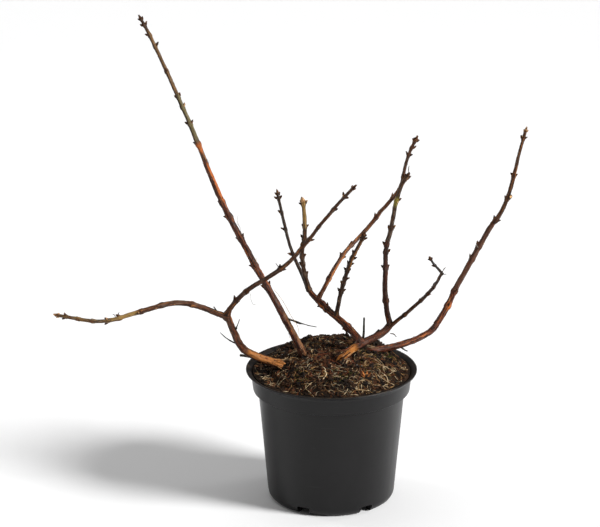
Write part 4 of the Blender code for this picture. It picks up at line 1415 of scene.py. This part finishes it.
def make_bark(name, groups):
    """Bark: dark grooves that are partly painted shade, lit fibres, stretches of other colours, a grey film,
    specks and a painted shade along the outline.
    """
    dark, middle, light, share, film, stretches = BARKS[name]
    material, nodes, shader = start_material(f"{name} bark")
    along = nodes.add("UVMap", uv_map="along").outputs["UV"]
    grain = nodes.group(groups["grain"], Along=along, Girth=3.0, Seed=float(len(name) * 13)).outputs
    # Dark grooves: the bark's own darker tone there, deepened as painted shade where the fibre height that
    # the bump uses is low
    depth = nodes.step(grain["Fibre"], 0.45, 0.57)
    colour = nodes.mix(depth, linear(*dark), linear(*middle))
    lit = nodes.step(grain["Patch"], 0.68 - share * 0.5, 0.78 - share * 0.4)
    lit = nodes.math("MULTIPLY", lit, nodes.step(grain["Fibre"], 0.46, 0.56))
    colour = nodes.mix(lit, colour, linear(*light))
    # Stretches of the bark's own tints, laid on the lit front-right face as partly painted light
    for start, end, side, width, tint in stretches:
        mask = nodes.group(groups["stretch"], Along=along, Ragged=grain["Fibre"], Start=float(start),
                           End=float(end), Soft=6.0, Side=side, Width=width).outputs["Mask"]
        mask = nodes.math("MULTIPLY", mask, nodes.step(grain["Fibre"], 0.40, 0.50))
        colour = nodes.mix(mask, colour, linear(*tint))
    grey = nodes.math("MULTIPLY", nodes.step(grain["Layer"], 0.50, 0.62), film * 2.2)
    colour = nodes.mix(grey, colour, linear(142, 128, 112))
    specks = nodes.step(grain["Speck"], 0.66, 0.74)
    colour = nodes.mix(nodes.math("MULTIPLY", specks, 0.55), colour, linear(*dark))
    # Painted shade: the bark is darkened towards the limb's outline, where its surface turns away from the
    # camera
    edge = nodes.add("LayerWeight")
    edge.inputs["Blend"].default_value = 0.5
    rim = nodes.math("MULTIPLY", nodes.step(edge.outputs["Facing"], 0.30, 0.85), 0.8)
    colour = nodes.mix(rim, colour, linear(*(level * 0.45 for level in dark)))
    nodes.link(colour, shader.inputs["Base Color"])
    rough = nodes.math("MULTIPLY_ADD", grain["Fibre"], 0.30, 0.36)
    nodes.link(rough, shader.inputs["Roughness"])
    height = nodes.math("MULTIPLY_ADD", grain["Fibre"], 0.7, nodes.math("MULTIPLY", grain["Wrinkle"], 0.22))
    height = nodes.math("MULTIPLY_ADD", nodes.step(grain["Layer"], 0.46, 0.52), 0.25, height)
    bump(nodes, shader, height, 0.8, 0.0009)
    shader.inputs["Specular IOR Level"].default_value = 0.2
    return material


def make_litter(name, groups, dark, light, roughness=0.85, fine=900.0, strength=0.5):
    """A dry plant finish: two colours in blotches, with a fine grain over them."""
    material, nodes, shader = start_material(name)
    mottle = nodes.group(groups["mottle"], Coarse=260.0, Fine=fine).outputs
    mix = nodes.step(mottle["Blotch"], 0.36, 0.64)
    colour = nodes.mix(mix, linear(*dark), linear(*light))
    shade = nodes.step(mottle["Grain"], 0.30, 0.55)
    shade = nodes.math("MULTIPLY_ADD", shade, -0.5, 0.5)
    colour = nodes.mix(shade, colour, linear(*(level * 0.35 for level in dark)))
    nodes.link(colour, shader.inputs["Base Color"])
    rough = nodes.math("MULTIPLY_ADD", mottle["Grain"], 0.2, roughness - 0.12)
    nodes.link(rough, shader.inputs["Roughness"])
    bump(nodes, shader, mottle["Height"], strength, 0.0005)
    shader.inputs["Specular IOR Level"].default_value = 0.15
    return material


def make_compost_material(groups):
    """Damp peat: near-black, with browner drifts and pale grains."""
    material, nodes, shader = start_material("peat")
    mottle = nodes.group(groups["mottle"], Coarse=85.0, Fine=620.0).outputs
    spot = nodes.add("TexCoord").outputs["Object"]
    wet = nodes.noise(spot, 38.0, 3.0, 0.55, 0.4)
    colour = nodes.mix(nodes.step(mottle["Blotch"], 0.34, 0.66), linear(11, 8, 6), linear(40, 28, 18))
    colour = nodes.mix(nodes.math("MULTIPLY", nodes.step(wet, 0.52, 0.66), 0.6), colour, linear(70, 46, 30))
    colour = nodes.mix(nodes.step(mottle["Grain"], 0.60, 0.72), colour, linear(96, 74, 48))
    colour = nodes.mix(nodes.step(mottle["Grain"], 0.36, 0.28), colour, linear(14, 11, 9))
    nodes.link(colour, shader.inputs["Base Color"])
    nodes.link(nodes.math("MULTIPLY_ADD", mottle["Grain"], 0.3, 0.68), shader.inputs["Roughness"])
    bump(nodes, shader, mottle["Height"], 0.8, 0.0012)
    shader.inputs["Specular IOR Level"].default_value = 0.12
    return material


def make_plastic(groups):
    """Satin black plastic: faint flow marks down the wall, fine speckle and a little peat dust."""
    material, nodes, shader = start_material("satin black plastic")
    mottle = nodes.group(groups["mottle"], Coarse=24.0, Fine=1500.0).outputs
    spot = nodes.add("TexCoord").outputs["Object"]
    stretched = nodes.add("Mapping")
    stretched.inputs["Scale"].default_value = (140.0, 140.0, 5.0)
    nodes.link(spot, stretched.inputs["Vector"])
    flow = nodes.noise(stretched.outputs["Vector"], 1.0, 3.0, 0.5)
    colour = nodes.mix(nodes.step(mottle["Blotch"], 0.3, 0.7), linear(10, 9, 10), linear(15, 14, 15))
    scuff = nodes.add("Mapping")
    scuff.inputs["Scale"].default_value = (30.0, 30.0, 420.0)
    nodes.link(spot, scuff.inputs["Vector"])
    scuffs = nodes.step(nodes.noise(scuff.outputs["Vector"], 1.0, 2.0, 0.5), 0.70, 0.78)
    colour = nodes.mix(nodes.math("MULTIPLY", scuffs, 0.12), colour, linear(74, 72, 72))
    dust = nodes.group(groups["dust"], Scale=210.0, Amount=0.45).outputs["Mask"]
    colour = nodes.mix(dust, colour, linear(88, 72, 58))
    nodes.link(colour, shader.inputs["Base Color"])
    rough = nodes.math("MULTIPLY_ADD", flow, 0.10, 0.30)
    rough = nodes.math("MULTIPLY_ADD", mottle["Blotch"], 0.08, rough)
    rough = nodes.math("MULTIPLY_ADD", dust, 0.4, rough)
    nodes.link(rough, shader.inputs["Roughness"])
    height = nodes.math("MULTIPLY_ADD", flow, 0.5, nodes.math("MULTIPLY", mottle["Grain"], 0.35))
    bump(nodes, shader, height, 0.16, 0.0004)
    shader.inputs["Specular IOR Level"].default_value = 0.28
    return material


def make_materials():
    """Every finish by its name."""
    groups = {"grain": limb_grain_group(), "stretch": stretch_group(), "dust": dust_group(),
              "mottle": mottle_group()}
    kit = {f"{name} bark": make_bark(name, groups) for name in BARKS}
    finishes = {
        "bud brown": ((46, 28, 18), (104, 68, 42)),
        "bud umber": ((34, 20, 14), (74, 44, 28)),
        "bud tan": ((132, 92, 58), (206, 164, 118)),
        "flake brown": ((54, 30, 20), (120, 74, 48)),
        "flake red": ((70, 34, 22), (148, 84, 54)),
        "flake tan": ((120, 84, 56), (188, 146, 102)),
        "pale string": ((118, 92, 66), (186, 156, 120)),
        "grey string": ((96, 92, 84), (150, 146, 136)),
        "dark prong": ((28, 20, 16), (72, 50, 38)),
        "split wood": ((176, 128, 78), (226, 186, 134)),
        "clod black": ((14, 10, 8), (42, 30, 21)),
        "clod brown": ((32, 21, 14), (74, 50, 32)),
        "clod rust": ((50, 28, 17), (98, 60, 36)),
        "peat fibre dark": ((26, 17, 12), (66, 45, 30)),
        "peat fibre brown": ((76, 48, 30), (138, 98, 62)),
        "peat fibre red": ((84, 42, 26), (146, 84, 52)),
        "straw pale": ((168, 138, 98), (226, 204, 166)),
        "straw tan": ((126, 92, 56), (186, 146, 96)),
        "straw grey": ((112, 100, 80), (170, 158, 132)),
        "root red": ((62, 30, 18), (116, 62, 38)),
        "root brown": ((60, 38, 26), (118, 80, 52)),
        "chip brown": ((52, 32, 20), (116, 78, 48)),
        "chip dark": ((28, 20, 14), (66, 46, 32)),
        "chip tan": ((110, 76, 44), (168, 124, 76)),
        "bark curl": ((150, 84, 40), (204, 134, 74)),
        "white grit": ((196, 194, 186), (236, 234, 228)),
        "moss olive": ((52, 52, 20), (104, 100, 42)),
        "moss green": ((46, 56, 26), (88, 104, 50)),
    }
    for name, (dark, light) in finishes.items():
        kit[name] = make_litter(name, groups, dark, light)
    kit["peat"] = make_compost_material(groups)
    kit["plastic"] = make_plastic(groups)
    return kit


def make_limbs(routes, kit):
    """One bark mesh for each limb."""
    slots = {"stem": "stem_bark", "bough": "bough_bark", "shoot": "shoot_bark"}
    for name, route in routes.items():
        heap = Heap()
        add_bark(heap, route)
        slot = slots.get(name.split("_")[-1], "dead_wood")
        heap.make(f"{name}_bark", [kit[f"{route.limb.bark} bark"]], slot, (name,))


def make_small_wood(routes, kit):
    """Buds, flakes, strips and dead twigs, each kind as one mesh."""
    heaps = {"buds": Heap(), "flakes": Heap(), "strips": Heap()}
    grow_buds(routes, heaps)
    grow_flakes(routes, heaps["flakes"])
    add_strips(heaps)
    add_frays(routes, heaps["strips"])
    add_knobs(routes, heaps["strips"])
    buds = [kit["bud brown"], kit["bud umber"], kit["bud tan"]]
    heaps["buds"].make("buds", buds, "shoot_bark", sharp=FOLD)
    flakes = [kit["flake brown"], kit["flake red"], kit["flake tan"]]
    heaps["flakes"].make("bark_flakes", flakes, "bough_bark", sharp=FOLD)
    heaps["strips"].make("loose_strips", [kit["pale string"], kit["grey string"], kit["dark prong"],
                                          kit["split wood"], kit["flake red"]], "stem_bark")
    twigs = Heap()
    grow_twigs(routes, twigs)
    twigs.make("dead_twigs", [kit["dead bark"]], "dead_wood")


def make_filling(kit):
    """The bed and everything that lies on it."""
    make_bed([kit["peat"]])
    clods = Heap()
    add_clods(clods)
    clods.make("clods", [kit["clod black"], kit["clod brown"], kit["clod rust"]], "compost", sharp=32.0)
    peat, straw, roots, chips, moss = Heap(), Heap(), Heap(), Heap(), Heap()
    add_fibres(peat, straw, roots)
    add_chips(chips)
    add_moss(moss)
    add_special(straw, roots, chips)
    tones = [kit["peat fibre dark"], kit["peat fibre brown"], kit["peat fibre red"]]
    peat.make("peat_fibres", tones, "compost")
    straw.make("straw", [kit["straw pale"], kit["straw tan"], kit["straw grey"]], "compost")
    roots.make("surface_roots", [kit["root red"], kit["root brown"]], "compost")
    chips.make("bark_chips", [kit["chip brown"], kit["chip dark"], kit["chip tan"], kit["bark curl"],
                              kit["white grit"]], "compost", sharp=FOLD)
    moss.make("moss", [kit["moss olive"], kit["moss green"]], "compost", sharp=FOLD)


def make_camera():
    """The photograph's camera."""
    lens = bpy.data.cameras.new("camera")
    lens.lens = CAMERA_LENS
    lens.sensor_width = CAMERA_SENSOR
    lens.sensor_fit = "HORIZONTAL"
    lens.clip_end = 50.0
    item = bpy.data.objects.new("camera", lens)
    item.location = Vector(CAMERA_PLACE) * MM
    item.rotation_euler = (math.radians(90.0 - CAMERA_DOWN), 0.0, 0.0)
    bpy.context.scene.collection.objects.link(item)
    bpy.context.scene.camera = item


def add_light(name, spot, softness, strength):
    """A broad, far studio light that shines from its spot to the middle of the bush."""
    lamp = bpy.data.lights.new(name, "SUN")
    lamp.angle = math.radians(softness)
    lamp.energy = strength
    item = bpy.data.objects.new(name, lamp)
    item.location = spot
    facing = Vector((0.0, 0.0, 0.22)) - Vector(spot)
    item.rotation_euler = facing.to_track_quat("-Z", "Y").to_euler()
    bpy.context.scene.collection.objects.link(item)


def add_panel(name, spot, size, power):
    """A tall lit panel at one side, that draws a line of light down the pot's edge."""
    lamp = bpy.data.lights.new(name, "AREA")
    lamp.shape = "RECTANGLE"
    lamp.size = size[0]
    lamp.size_y = size[1]
    lamp.energy = power
    item = bpy.data.objects.new(name, lamp)
    item.location = spot
    facing = Vector((0.0, 0.0, 0.12)) - Vector(spot)
    item.rotation_euler = facing.to_track_quat("-Z", "Y").to_euler()
    bpy.context.scene.collection.objects.link(item)


def make_stage():
    """A plain pale floor under soft studio light."""
    mesh = bpy.data.meshes.new("floor")
    sheet = bmesh.new()
    bmesh.ops.create_circle(sheet, cap_ends=True, segments=96, radius=14.0)
    sheet.to_mesh(mesh)
    sheet.free()
    floor = bpy.data.objects.new("floor", mesh)
    floor.location = (0.0, 0.0, -0.0004)
    bpy.context.scene.collection.objects.link(floor)
    material, _, shader = start_material("pale floor")
    shader.inputs["Base Color"].default_value = (0.93, 0.93, 0.93, 1.0)
    shader.inputs["Roughness"].default_value = 0.9
    mesh.materials.append(material)
    world = bpy.data.worlds.new("studio")
    world.use_nodes = True
    sky = world.node_tree.nodes["Background"]
    sky.inputs["Color"].default_value = (1.0, 1.0, 1.0, 1.0)
    sky.inputs["Strength"].default_value = 0.16
    bpy.context.scene.world = world
    add_light("key light", (2.2, -0.9, 1.6), 18.0, 4.6)
    add_light("top light", (-0.3, 0.6, 2.2), 50.0, 0.6)
    for side in (-1, 1):
        add_panel(f"edge panel {side}", (side * 1.5, 0.75, 0.55), (0.35, 1.6), 6.0)
    bpy.context.scene.view_settings.view_transform = "Standard"


def main():
    routes = lay_routes()
    kit = make_materials()
    make_camera()
    make_stage()
    make_pot(kit["plastic"])
    make_limbs(routes, kit)
    make_small_wood(routes, kit)
    make_filling(kit)


main()
